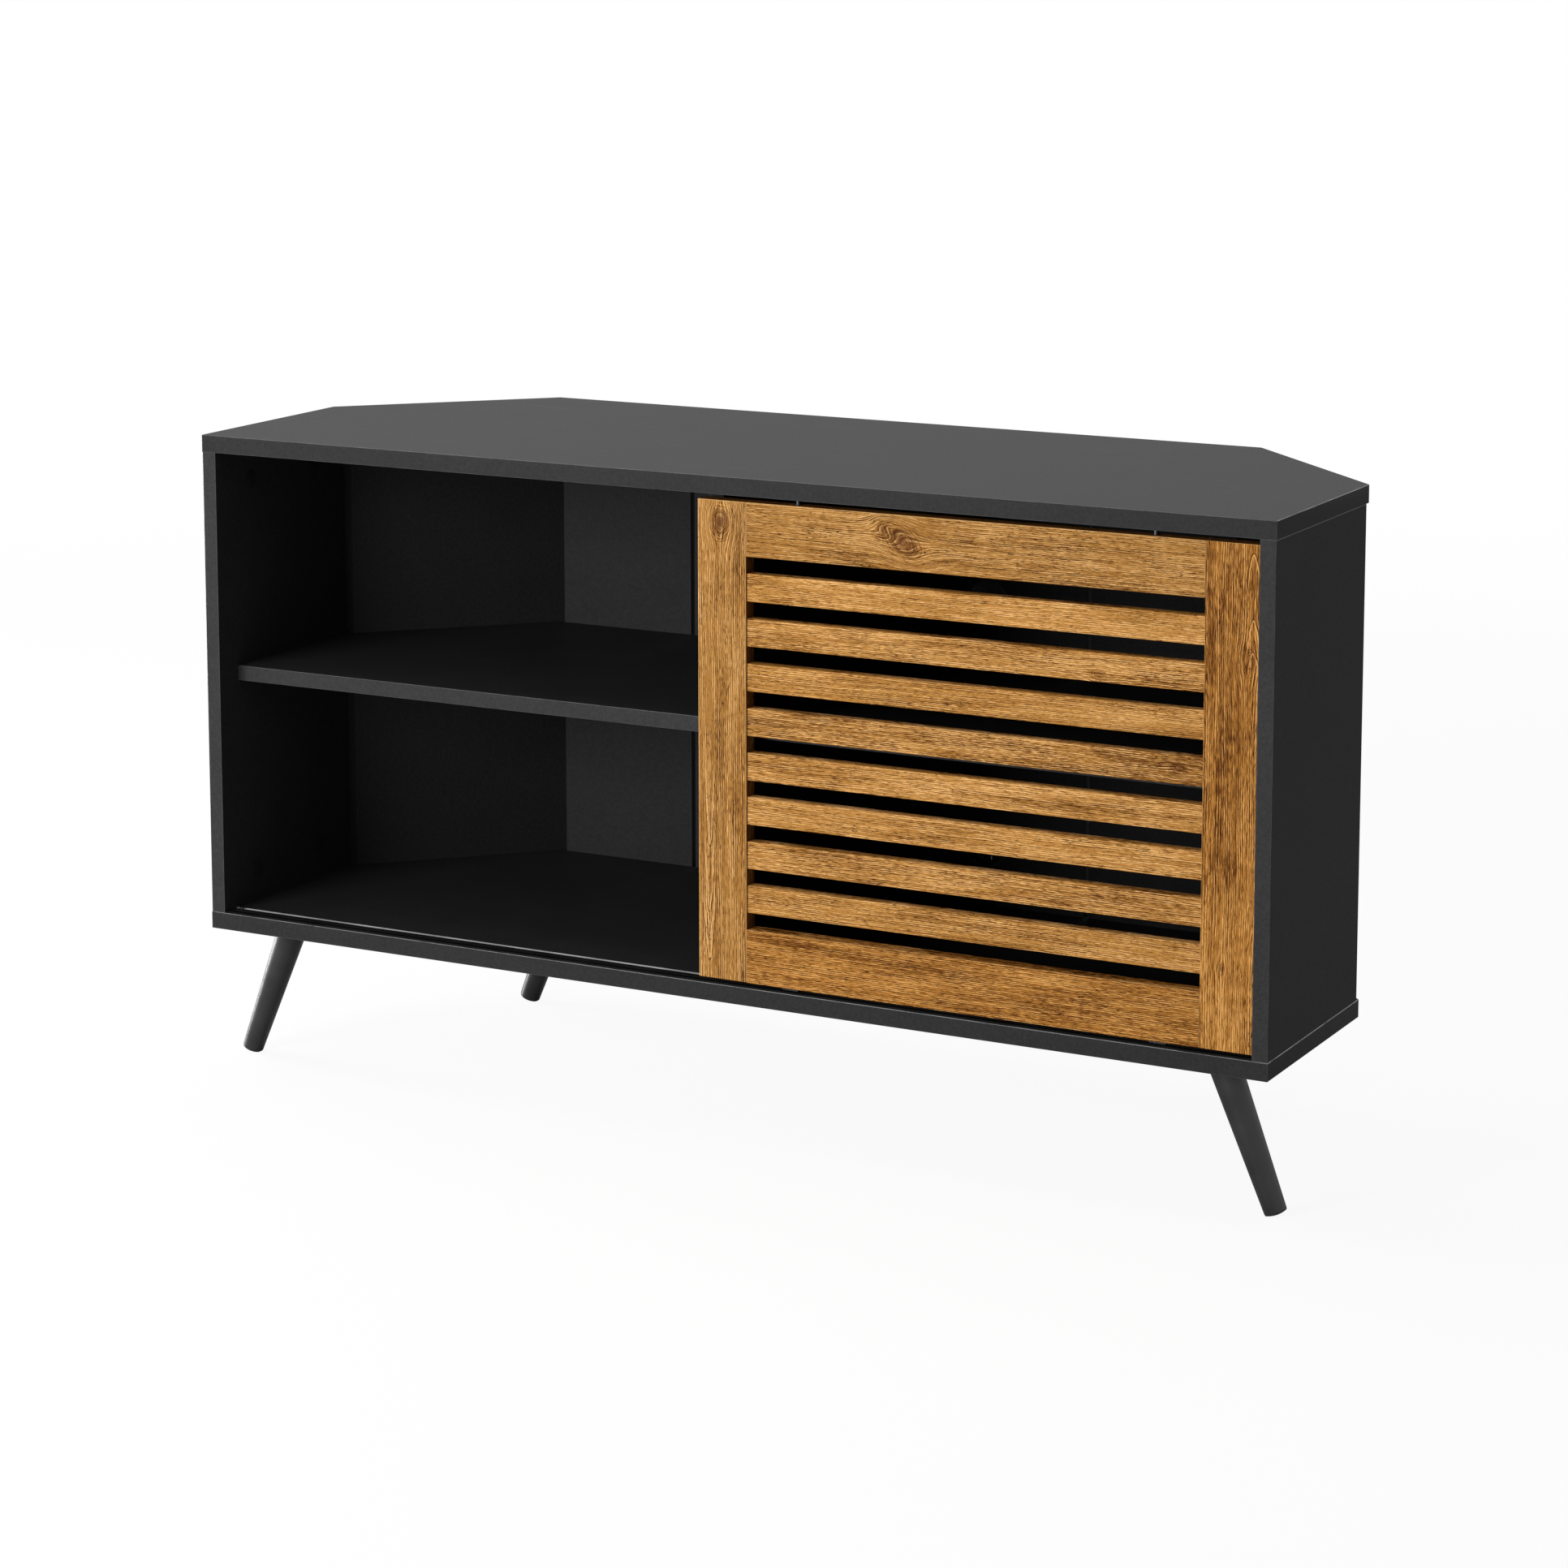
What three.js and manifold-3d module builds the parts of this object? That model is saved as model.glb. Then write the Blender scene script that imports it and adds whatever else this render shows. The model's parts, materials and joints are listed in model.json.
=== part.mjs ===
// Corner media console: a six-sided carcass on four splayed legs, with one shelf in each half
// and a slatted door that slides along the front, here over the right half.
// Lengths are in millimetres. The front faces -Y and the origin is on the ground, under the
// middle of the console.
import * as THREE from 'three';
import { mergeVertices } from 'three/addons/utils/BufferGeometryUtils.js';
import Module from 'manifold-3d';

const wasm = await Module();
wasm.setup();

// Outline of the top and bottom boards
const boardWidth = 1118;
const boardSideDepth = 229;
const boardCornerCut = 169.5;
const topThickness = 17;
const bottomThickness = 17;

// Heights
const legHeight = 138;
const clearHeight = 461;

// Clearances
const fit = 0.3;
const overrun = 2;

// Upright panels
const panelThickness = 15;
const sideInset = 0.4;
const sideShortfall = 5;
const backInset = 6;
const backMiddleWidth = 438;
const backJointGap = 4;
const backCornerReturn = 6.8;
const dividerSetback = 26;
const cableHoleRadius = 25;
const cableHoleX = 110;
const cableHoleHeight = 62;

// Shelves and their pins
const shelfThickness = 15;
const shelfTopHeight = 245;
const shelfSetback = 30;
const shelfSideGap = 0.5;
const shelfBackGap = 1;
const shelfPinRadius = 2.5;
const shelfPinInLength = 6.2;
const shelfPinOutLength = 8;
const shelfPinFrontInset = 34;
const shelfPinSpacing = 128;

// Pockets for the cam locks in the uprights, and bores for their bolts
const camPocketRadius = 7.8;
const camPocketDepth = 12.3;
const camSetback = 34;
const camEdgeDistance = 58;
const boltBoreRadius = 3;
const boltBoreDepth = 11;

// Door frame and slats
const doorThickness = 16;
const doorSetback = 3;
const doorBottomGap = 4.3;
const doorTopGap = 5.5;
const doorSideGap = 0.4;
const doorDividerOverlap = 7.2;
const stileWidth = 50;
const topRailHeight = 50.5;
const bottomRailHeight = 50.5;
const slatCount = 8;
const slatHeight = 26;
const slatRecess = 2;
const slatThickness = 12;
const tenonThickness = 6;
const tenonShoulder = 4;
const slatTenonLength = 8;
const railTenonLength = 14;

// Bottom track, let into the bottom board
const trackSlotWidth = 3.2;
const trackWall = 0.9;
const trackSlotDepth = 3.4;
const trackFlangeHeight = 0.8;
const trackFrontFlange = 5;
const trackRearFlange = 10.5;
const trackScrewInset = 8;
const trackScrewHeadRadius = 2.6;
const trackScrewHeadHeight = 1;
const trackScrewRadius = 1.3;
const trackScrewReach = 9;

// Top guide channel, let into the top board, and the guide pins that run in it
const guideSlotWidth = 7.4;
const guideWall = 1;
const guideHeight = 8.5;
const guidePinInset = 100;
const guidePinRadius = 2.2;
const guideFlangeRadius = 4.6;
const guideFlangeHeight = 1.2;
const guideShankRadius = 2.8;
const guideShankLength = 22;
const guidePinTopGap = 1.2;
const sleeveRadius = 3.3;
const sleeveHeight = 5.4;

// Door rollers, let into the bottom rail
const rollerInset = 92;
const wheelRadius = 10;
const wheelThickness = 2.4;
const wheelHubThickness = 4.4;
const wheelHubRadius = 4;
const wheelTrackGap = 0.3;
const wheelRunningGap = 0.8;
const axleRadius = 1.5;
const axleBoreGap = 0.1;
const housingLength = 30;
const housingWidth = 11;
const housingHeight = 15.5;
const housingSlotWidth = 5.2;

// Legs: tapered steel tubes, splayed sideways, on screwed plates
const legSplay = THREE.MathUtils.degToRad(21.6);
const legTopRadius = 14.9;
const legFootRadius = 10.5;
const legWall = 1.6;
const legInset = 63;
const legFrontDistance = 52;
const rearLegInset = 214.7;
const rearLegBackDistance = 59.5;
const plateSize = 62;
const plateThickness = 3;
const plateCorner = 8;
const plateHoleInset = 8;
const plateHoleRadius = 2.5;
const spigotLength = 16;
const legScrewHoleRadius = 2.2;
const legScrewHoleDepth = 12.3;
const glideRadius = 10.2;
const glideRimHeight = 0.8;
const glideDomeHeight = 2.2;
const glideFlat = 0.3;
const glideSpigotLength = 9;

// Facets of the round pieces
const legSides = 28;
const wheelSides = 24;
const holeSides = 20;
const pinSides = 12;
const smallSides = 8;
const domeSteps = 6;

// Places that follow from the sizes
const totalDepth = boardSideDepth + boardCornerCut;
const frontY = -totalDepth / 2;
const backY = totalDepth / 2;
const halfWidth = boardWidth / 2;
const undersideZ = legHeight;
const floorZ = undersideZ + bottomThickness;
const ceilingZ = floorZ + clearHeight;
const topZ = ceilingZ + topThickness;
const innerX = halfWidth - sideInset - panelThickness;
const sideFrontY = frontY + sideInset;
const sideBackY = frontY + boardSideDepth - sideShortfall;
const backInnerInset = backInset + panelThickness;
const backInnerY = backY - backInnerInset;
const backOuterY = backY - backInset;
const shelfTopZ = floorZ + shelfTopHeight;
const shelfBottomZ = shelfTopZ - shelfThickness;

// The rear corner's slanted line on the right, moved inwards by an inset
const slantX = (y, inset) => frontY + boardSideDepth + halfWidth - y - inset * Math.SQRT2;
const slantY = (x, inset) => frontY + boardSideDepth + halfWidth - x - inset * Math.SQRT2;

// Where the straight part of the back ends and the slanted part begins
const backEndX = slantX(backInnerY, backInnerInset) - backCornerReturn;

// Finishes
const finishes = {
  laminate: { color: 0x2b2b2c, roughness: 0.55, metalness: 0 },
  interior: { color: 0x1d1d1e, roughness: 0.6, metalness: 0 },
  wood: { color: 0xb5823f, roughness: 0.6, metalness: 0 },
  blackMetal: { color: 0x232324, roughness: 0.45, metalness: 0.6 },
  bareMetal: { color: 0xb9bbbd, roughness: 0.3, metalness: 1 },
  blackPlastic: { color: 0x18181a, roughness: 0.5, metalness: 0 },
  whitePlastic: { color: 0xd8d8d4, roughness: 0.45, metalness: 0 },
};

// A closed solid from any geometry: shared corners are merged and empty triangles left out
function solidOf(geometry) {
  const bare = geometry.clone();
  bare.deleteAttribute('normal');
  bare.deleteAttribute('uv');
  const merged = mergeVertices(bare);
  const corners = merged.index.array;
  const kept = [];
  for (let i = 0; i < corners.length; i += 3) {
    const [a, b, c] = [corners[i], corners[i + 1], corners[i + 2]];
    if (a !== b && b !== c && c !== a) kept.push(a, b, c);
  }
  return new wasm.Manifold(new wasm.Mesh({
    numProp: 3,
    vertProperties: Float32Array.from(merged.attributes.position.array),
    triVerts: Uint32Array.from(kept),
  }));
}

function geometryOf(solid) {
  const mesh = solid.getMesh();
  const geometry = new THREE.BufferGeometry();
  geometry.setAttribute('position', new THREE.BufferAttribute(mesh.vertProperties, 3));
  geometry.setIndex(new THREE.BufferAttribute(mesh.triVerts, 1));
  return geometry;
}

const clean = (geometry) => geometryOf(solidOf(geometry));

function cut(geometry, tools) {
  let solid = solidOf(geometry);
  for (const tool of tools) solid = solid.subtract(solidOf(tool));
  return geometryOf(solid);
}

function join(geometry, others) {
  let solid = solidOf(geometry);
  for (const other of others) solid = solid.add(solidOf(other));
  return geometryOf(solid);
}

const common = (one, other) => geometryOf(solidOf(one).intersect(solidOf(other)));

function box(x0, x1, y0, y1, z0, z1) {
  const geometry = new THREE.BoxGeometry(x1 - x0, y1 - y0, z1 - z0);
  return geometry.translate((x0 + x1) / 2, (y0 + y1) / 2, (z0 + z1) / 2);
}

const shapeOf = (points) => new THREE.Shape(points.map(([x, y]) => new THREE.Vector2(x, y)));

// A plan outline raised from z0 to z1
function prism(points, z0, z1) {
  const options = { depth: z1 - z0, bevelEnabled: false };
  return new THREE.ExtrudeGeometry(shapeOf(points), options).translate(0, 0, z0);
}

// A section in y and z, drawn out along x
function drawnAlongX(section, x0, x1) {
  const turn = new THREE.Matrix4().makeBasis(
    new THREE.Vector3(0, 1, 0),
    new THREE.Vector3(0, 0, 1),
    new THREE.Vector3(1, 0, 0),
  );
  return prism(section, x0, x1).applyMatrix4(turn);
}

// A round bar along z
function bar(radius, z0, z1, sides) {
  const geometry = new THREE.CylinderGeometry(radius, radius, z1 - z0, sides);
  return geometry.rotateX(Math.PI / 2).translate(0, 0, (z0 + z1) / 2);
}

// A turned piece about z, from a profile of radii and heights that runs upwards
function turned(profile, sides) {
  const points = profile.map(([radius, z]) => new THREE.Vector2(radius, z));
  return new THREE.LatheGeometry(points, sides).rotateX(Math.PI / 2);
}

// Bars along x or y, from a bar along z
const alongX = (geometry) => geometry.rotateY(Math.PI / 2);
const alongY = (geometry) => geometry.rotateX(-Math.PI / 2);

function piece(name, geometry, finish) {
  const mesh = new THREE.Mesh(geometry, new THREE.MeshStandardMaterial(finishes[finish]));
  mesh.name = name;
  return mesh;
}

const mirrored = (points) => points.map(([x, y]) => [-x, y]);
const bothSides = [
  { word: 'left', sign: -1 },
  { word: 'right', sign: 1 },
];
const bothEnds = ['top', 'bottom'];

// Joinery of the carcass
// A joint is a place on an upright's mid plane. Its own frame has z = 0 on the upright's end,
// +z into the board, and +x out of the face that takes the cam lock.
function atJoint(geometry, joint, end) {
  const placed = geometry.clone();
  if (end === 'bottom') placed.rotateX(Math.PI);
  placed.rotateZ(joint.turn);
  return placed.translate(joint.x, joint.y, end === 'top' ? ceilingZ : floorZ);
}

function camPocket() {
  const face = panelThickness / 2;
  const pocket = bar(camPocketRadius, face - camPocketDepth, face + overrun, pinSides);
  return alongX(pocket).translate(0, 0, -camSetback);
}

const boltBore = () => bar(boltBoreRadius, -camSetback, boltBoreDepth, smallSides);

// The pins of a shelf go into two uprights, in the face at faceX that looks along sign
function shelfPinPlaces() {
  const first = frontY + shelfSetback + shelfPinFrontInset;
  return [first, first + shelfPinSpacing].map((y) => ({
    y,
    z: shelfBottomZ - shelfPinRadius,
  }));
}

function onShelfPinPlaces(template, faceX, sign) {
  return shelfPinPlaces().map(({ y, z }) => {
    const placed = alongX(template.clone());
    if (sign < 0) placed.rotateZ(Math.PI);
    return placed.translate(faceX, y, z);
  });
}

function shelfPinHoles(faceX, sign) {
  const hole = bar(shelfPinRadius + fit, -shelfPinInLength - fit, overrun, smallSides);
  return onShelfPinPlaces(hole, faceX, sign);
}

// Uprights: each has its plan outline, the places of its joints and any other cuts
function sideUpright({ word, sign }) {
  const faceX = sign * innerX;
  const outerX = sign * (innerX + panelThickness);
  const midX = (faceX + outerX) / 2;
  return {
    name: `side_panel_${word}`,
    finish: 'laminate',
    outline: [[faceX, sideFrontY], [outerX, sideFrontY], [outerX, sideBackY], [faceX, sideBackY]],
    cams: [sideFrontY + camEdgeDistance, sideBackY - camEdgeDistance].map((y) => ({
      x: midX,
      y,
      turn: sign > 0 ? Math.PI : 0,
    })),
    cuts: shelfPinHoles(faceX, -sign),
  };
}

function slantedBack({ word, sign }) {
  const nearY = sideBackY + fit;
  const endX = backEndX + fit;
  const outline = [
    [slantX(nearY, backInnerInset), nearY],
    [slantX(nearY, backInset), nearY],
    [slantX(backOuterY, backInset), backOuterY],
    [endX, backOuterY],
    [endX, slantY(endX, backInnerInset)],
  ];
  const midInset = backInset + panelThickness / 2;
  const midY = (nearY + backOuterY) / 2;
  const midX = slantX(midY, midInset);
  return {
    name: `back_panel_slanted_${word}`,
    finish: 'interior',
    outline: sign > 0 ? outline : mirrored(outline),
    cams: [{ x: sign * midX, y: midY, turn: sign > 0 ? Math.PI / 4 : (Math.PI * 3) / 4 }],
    cuts: [],
  };
}

function straightBack(name, x0, x1, camXs, cuts) {
  const midY = (backInnerY + backOuterY) / 2;
  return {
    name,
    finish: 'interior',
    outline: [[x0, backInnerY], [x1, backInnerY], [x1, backOuterY], [x0, backOuterY]],
    cams: camXs.map((x) => ({ x, y: midY, turn: Math.PI / 2 })),
    cuts,
  };
}

function cableHoles() {
  const heights = [floorZ + cableHoleHeight, shelfTopZ + cableHoleHeight];
  return bothSides.flatMap(({ sign }) => heights.map((z) => {
    const hole = alongY(bar(cableHoleRadius, -overrun, panelThickness + overrun, holeSides));
    return hole.translate(sign * cableHoleX, backInnerY, z);
  }));
}

function endBack({ word, sign }) {
  const near = backMiddleWidth / 2 + backJointGap;
  const [x0, x1] = [sign * near, sign * backEndX].sort((a, b) => a - b);
  return straightBack(`back_panel_${word}`, x0, x1, [(x0 + x1) / 2], []);
}

function middleBack() {
  const half = backMiddleWidth / 2;
  const camX = half - camEdgeDistance;
  return straightBack('back_panel_middle', -half, half, [-camX, camX], cableHoles());
}

function divider() {
  const half = panelThickness / 2;
  const y0 = frontY + dividerSetback;
  const y1 = backInnerY - fit;
  return {
    name: 'centre_divider',
    finish: 'interior',
    outline: [[-half, y0], [half, y0], [half, y1], [-half, y1]],
    cams: [y0 + camEdgeDistance, y1 - camEdgeDistance].map((y) => ({ x: 0, y, turn: 0 })),
    cuts: [...shelfPinHoles(-half, -1), ...shelfPinHoles(half, 1)],
  };
}

const uprights = [
  ...bothSides.map(sideUpright),
  ...bothSides.map(slantedBack),
  ...bothSides.map(endBack),
  middleBack(),
  divider(),
];
const camJoints = uprights.flatMap((upright) => upright.cams);

function uprightPiece({ name, finish, outline, cams, cuts }) {
  const joinery = bothEnds.flatMap((end) => cams.flatMap(
    (joint) => [camPocket(), boltBore()].map((tool) => atJoint(tool, joint, end)),
  ));
  return piece(name, cut(prism(outline, floorZ, ceilingZ), [...joinery, ...cuts]), finish);
}

const boardJoinery = (end) => camJoints.map((joint) => atJoint(boltBore(), joint, end));

// Top and bottom boards
const boardOutline = [
  [-halfWidth, frontY],
  [halfWidth, frontY],
  [halfWidth, frontY + boardSideDepth],
  [halfWidth - boardCornerCut, backY],
  [boardCornerCut - halfWidth, backY],
  [-halfWidth, frontY + boardSideDepth],
];
const runY = frontY + doorSetback + doorThickness / 2;

function topBoard() {
  const groove = box(
    -innerX,
    innerX,
    runY - guideSlotWidth / 2 - guideWall - fit,
    runY + guideSlotWidth / 2 + guideWall + fit,
    ceilingZ - overrun,
    ceilingZ + guideHeight + fit,
  );
  const body = prism(boardOutline, ceilingZ, topZ);
  return piece('top_board', cut(body, [groove, ...boardJoinery('top')]), 'laminate');
}

// Places of the four legs, and of the four screws round each
const legPlaces = [
  { word: 'front_left', x: legInset - halfWidth, y: frontY + legFrontDistance, turn: Math.PI },
  { word: 'front_right', x: halfWidth - legInset, y: frontY + legFrontDistance, turn: 0 },
  { word: 'rear_left', x: rearLegInset - halfWidth, y: backY - rearLegBackDistance, turn: Math.PI },
  { word: 'rear_right', x: halfWidth - rearLegInset, y: backY - rearLegBackDistance, turn: 0 },
];

function screwPlaces() {
  const reach = plateSize / 2 - plateHoleInset;
  return [[-reach, -reach], [reach, -reach], [reach, reach], [-reach, reach]];
}

function legScrewHoles() {
  const hole = bar(legScrewHoleRadius, -overrun, legScrewHoleDepth, smallSides);
  return legPlaces.flatMap(({ x, y }) => screwPlaces().map(
    ([dx, dy]) => hole.clone().translate(x + dx, y + dy, undersideZ),
  ));
}

function trackScrewPlaces() {
  const y = runY + trackSlotWidth / 2 + trackRearFlange / 2;
  return bothSides.map(({ sign }) => ({ x: sign * (innerX - trackScrewInset), y }));
}

function bottomBoard() {
  const groove = box(
    -innerX,
    innerX,
    runY - trackSlotWidth / 2 - trackWall - fit,
    runY + trackSlotWidth / 2 + trackWall + fit,
    floorZ - trackSlotDepth - trackWall - fit,
    floorZ + overrun,
  );
  const trackHole = bar(trackScrewRadius + fit, -trackScrewReach - fit, overrun, smallSides);
  const trackHoles = trackScrewPlaces().map(
    ({ x, y }) => trackHole.clone().translate(x, y, floorZ),
  );
  const body = prism(boardOutline, undersideZ, floorZ);
  const tools = [groove, ...legScrewHoles(), ...trackHoles, ...boardJoinery('bottom')];
  return piece('bottom_board', cut(body, tools), 'laminate');
}

// Shelves and their pins
function shelf({ word, sign }) {
  const inset = backInnerInset + shelfBackGap;
  const nearX = panelThickness / 2 + shelfSideGap;
  const farX = innerX - shelfSideGap;
  const y0 = frontY + shelfSetback;
  const y1 = backInnerY - shelfBackGap;
  const outline = [
    [nearX, y0],
    [farX, y0],
    [farX, slantY(farX, inset)],
    [slantX(y1, inset), y1],
    [nearX, y1],
  ];
  const points = sign > 0 ? outline : mirrored(outline);
  return piece(`shelf_${word}`, prism(points, shelfBottomZ, shelfTopZ), 'interior');
}

function shelfPins({ word, sign }) {
  const pin = bar(shelfPinRadius, -shelfPinInLength, shelfPinOutLength, smallSides);
  const pins = [
    ...onShelfPinPlaces(pin, sign * innerX, -sign),
    ...onShelfPinPlaces(pin, (sign * panelThickness) / 2, sign),
  ];
  return pins.map((geometry, i) => {
    const name = `shelf_pin_${word}_${i + 1}`;
    return piece(name, clean(geometry), 'bareMetal');
  });
}

// Bottom track: two thin flanges on the board, with a slot for the wheels between them
function bottomTrack() {
  const half = trackSlotWidth / 2;
  const outer = half + trackWall;
  const top = floorZ + trackFlangeHeight;
  const slotFloor = floorZ - trackSlotDepth;
  const section = [
    [runY - half - trackFrontFlange, floorZ],
    [runY - outer, floorZ],
    [runY - outer, slotFloor - trackWall],
    [runY + outer, slotFloor - trackWall],
    [runY + outer, floorZ],
    [runY + half + trackRearFlange, floorZ],
    [runY + half + trackRearFlange, top],
    [runY + half, top],
    [runY + half, slotFloor],
    [runY - half, slotFloor],
    [runY - half, top],
    [runY - half - trackFrontFlange, top],
  ];
  const hole = bar(trackScrewRadius + fit, -overrun, trackFlangeHeight + overrun, smallSides);
  const holes = trackScrewPlaces().map(({ x, y }) => hole.clone().translate(x, y, floorZ));
  const body = drawnAlongX(section, fit - innerX, innerX - fit);
  return piece('bottom_track', cut(body, holes), 'blackPlastic');
}

function trackScrews() {
  const seat = trackFlangeHeight + fit;
  const screw = turned([
    [0, -trackScrewReach],
    [trackScrewRadius, -trackScrewReach],
    [trackScrewRadius, seat],
    [trackScrewHeadRadius, seat],
    [trackScrewHeadRadius, seat + trackScrewHeadHeight],
    [0, seat + trackScrewHeadHeight],
  ], smallSides);
  return trackScrewPlaces().map(({ x, y }, i) => {
    const placed = piece(`track_screw_${bothSides[i].word}`, clean(screw), 'bareMetal');
    placed.position.set(x, y, floorZ);
    return placed;
  });
}

// Top guide channel: an upturned U, open downwards
function guideChannel() {
  const half = guideSlotWidth / 2;
  const outer = half + guideWall;
  const crown = ceilingZ + guideHeight;
  const section = [
    [runY - outer, ceilingZ],
    [runY - half, ceilingZ],
    [runY - half, crown - guideWall],
    [runY + half, crown - guideWall],
    [runY + half, ceilingZ],
    [runY + outer, ceilingZ],
    [runY + outer, crown],
    [runY - outer, crown],
  ];
  const body = drawnAlongX(section, fit - innerX, innerX - fit);
  return piece('guide_channel', clean(body), 'blackPlastic');
}

// Door, in its own frame: x from its left edge, y from its front face, z from its bottom edge
const doorX = -doorDividerOverlap;
const doorZ = floorZ + doorBottomGap;
const doorWidth = innerX - doorSideGap - doorX;
const doorHeight = clearHeight - doorBottomGap - doorTopGap;
const doorOpening = doorHeight - topRailHeight - bottomRailHeight;
const slatGap = (doorOpening - slatCount * slatHeight) / (slatCount + 1);
const tenonY0 = (doorThickness - tenonThickness) / 2;
const tenonY1 = tenonY0 + tenonThickness;
const railX0 = stileWidth + fit;
const railX1 = doorWidth - stileWidth - fit;

// Members that run across the door, with the height of each and the length of its tenons
function crossMembers() {
  const members = [
    { z0: 0, z1: bottomRailHeight, tenon: railTenonLength },
    { z0: doorHeight - topRailHeight, z1: doorHeight, tenon: railTenonLength },
  ];
  for (let i = 0; i < slatCount; i += 1) {
    const z0 = bottomRailHeight + slatGap + i * (slatHeight + slatGap);
    members.push({ z0, z1: z0 + slatHeight, tenon: slatTenonLength });
  }
  return members;
}

function tenons({ z0, z1, tenon }) {
  const [low, high] = [z0 + tenonShoulder, z1 - tenonShoulder];
  return [
    box(railX0 - tenon, railX0 + fit, tenonY0, tenonY1, low, high),
    box(railX1 - fit, railX1 + tenon, tenonY0, tenonY1, low, high),
  ];
}

function mortises(faceX, sign) {
  return crossMembers().map(({ z0, z1, tenon }) => {
    const ends = [faceX + overrun * sign, faceX - (tenon + fit) * sign].sort((a, b) => a - b);
    return box(
      ...ends,
      tenonY0 - fit,
      tenonY1 + fit,
      z0 + tenonShoulder - fit,
      z1 - tenonShoulder + fit,
    );
  });
}

function stiles() {
  const left = box(0, stileWidth, 0, doorThickness, 0, doorHeight);
  const right = box(doorWidth - stileWidth, doorWidth, 0, doorThickness, 0, doorHeight);
  return [
    piece('door_stile_left', cut(left, mortises(stileWidth, 1)), 'wood'),
    piece('door_stile_right', cut(right, mortises(doorWidth - stileWidth, -1)), 'wood'),
  ];
}

function slats() {
  return crossMembers().slice(2).reverse().map((member, i) => {
    const { z0, z1 } = member;
    const body = box(railX0, railX1, slatRecess, slatRecess + slatThickness, z0, z1);
    return piece(`door_slat_${i + 1}`, join(body, tenons(member)), 'wood');
  });
}

const guidePinXs = [guidePinInset, doorWidth - guidePinInset];
const rollerXs = [rollerInset, doorWidth - rollerInset];
const doorMidY = doorThickness / 2;
const axleZ = wheelTrackGap + wheelRadius - trackSlotDepth - doorBottomGap;

function topRail() {
  const member = crossMembers()[1];
  const body = box(railX0, railX1, 0, doorThickness, member.z0, member.z1);
  const hole = bar(guideShankRadius + fit, -guideShankLength - fit, overrun, pinSides);
  const holes = guidePinXs.map((x) => hole.clone().translate(x, doorMidY, doorHeight));
  return piece('door_rail_top', cut(join(body, tenons(member)), holes), 'wood');
}

function bottomRail() {
  const member = crossMembers()[0];
  const body = box(railX0, railX1, 0, doorThickness, member.z0, member.z1);
  const mortise = box(
    -housingLength / 2 - fit,
    housingLength / 2 + fit,
    doorMidY - housingWidth / 2 - fit,
    doorMidY + housingWidth / 2 + fit,
    -overrun,
    housingHeight + fit,
  );
  const cuts = rollerXs.map((x) => mortise.clone().translate(x, 0, 0));
  return piece('door_rail_bottom', cut(join(body, tenons(member)), cuts), 'wood');
}

// Top guides: a steel pin in the rail's top edge, with a nylon sleeve that runs in the channel
function guidePins() {
  const pinTop = doorTopGap + guideHeight - guideWall - guidePinTopGap;
  const profile = [
    [0, -guideShankLength],
    [guideShankRadius, -guideShankLength],
    [guideShankRadius, fit],
    [guideFlangeRadius, fit],
    [guideFlangeRadius, fit + guideFlangeHeight],
    [guidePinRadius, fit + guideFlangeHeight],
    [guidePinRadius, pinTop],
    [0, pinTop],
  ];
  return guidePinXs.map((x, i) => {
    const name = `guide_pin_${bothSides[i].word}`;
    const pin = piece(name, clean(turned(profile, pinSides)), 'bareMetal');
    pin.position.set(x, doorMidY, doorHeight);
    return pin;
  });
}

function guideSleeves() {
  const top = doorTopGap + guideHeight - guideWall - guidePinTopGap;
  const bore = guidePinRadius + fit;
  return guidePinXs.map((x, i) => {
    const ring = turned([
      [bore, top - sleeveHeight],
      [sleeveRadius, top - sleeveHeight],
      [sleeveRadius, top],
      [bore, top],
      [bore, top - sleeveHeight],
    ], pinSides);
    const sleeve = piece(`guide_sleeve_${bothSides[i].word}`, clean(ring), 'whitePlastic');
    sleeve.position.set(x, doorMidY, doorHeight);
    return sleeve;
  });
}

// One roller, about its axle: a housing in the rail, the axle across it and the wheel
function roller({ word }, x) {
  const group = new THREE.Group();
  group.position.set(x, doorMidY, axleZ);
  const [low, high] = [fit - axleZ, housingHeight - axleZ];
  const halfSlot = wheelRadius + wheelRunningGap;
  const shell = box(
    -housingLength / 2,
    housingLength / 2,
    -housingWidth / 2,
    housingWidth / 2,
    low,
    high,
  );
  const slot = box(
    -halfSlot,
    halfSlot,
    -housingSlotWidth / 2,
    housingSlotWidth / 2,
    low - overrun,
    halfSlot,
  );
  const bore = alongY(bar(axleRadius + axleBoreGap, -housingWidth, housingWidth, pinSides));
  const housing = cut(shell, [slot, bore]);
  const reach = housingWidth / 2 - fit;
  const axle = alongY(bar(axleRadius, -reach, reach, pinSides));
  const rim = bar(wheelRadius, -wheelThickness / 2, wheelThickness / 2, wheelSides);
  const hub = bar(wheelHubRadius, -wheelHubThickness / 2, wheelHubThickness / 2, wheelSides);
  const wheelBore = bar(axleRadius + axleBoreGap, -housingWidth, housingWidth, wheelSides);
  const wheel = alongY(cut(join(rim, [hub]), [wheelBore]));
  group.add(
    piece(`roller_housing_${word}`, housing, 'blackPlastic'),
    piece(`roller_axle_${word}`, clean(axle), 'bareMetal'),
    piece(`roller_wheel_${word}`, wheel, 'whitePlastic'),
  );
  return group;
}

function door() {
  const group = new THREE.Group();
  group.position.set(doorX, frontY + doorSetback, doorZ);
  group.add(
    ...stiles(),
    topRail(),
    bottomRail(),
    ...slats(),
    ...guidePins(),
    ...guideSleeves(),
    ...bothSides.map((side, i) => roller(side, rollerXs[i])),
  );
  return group;
}

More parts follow.
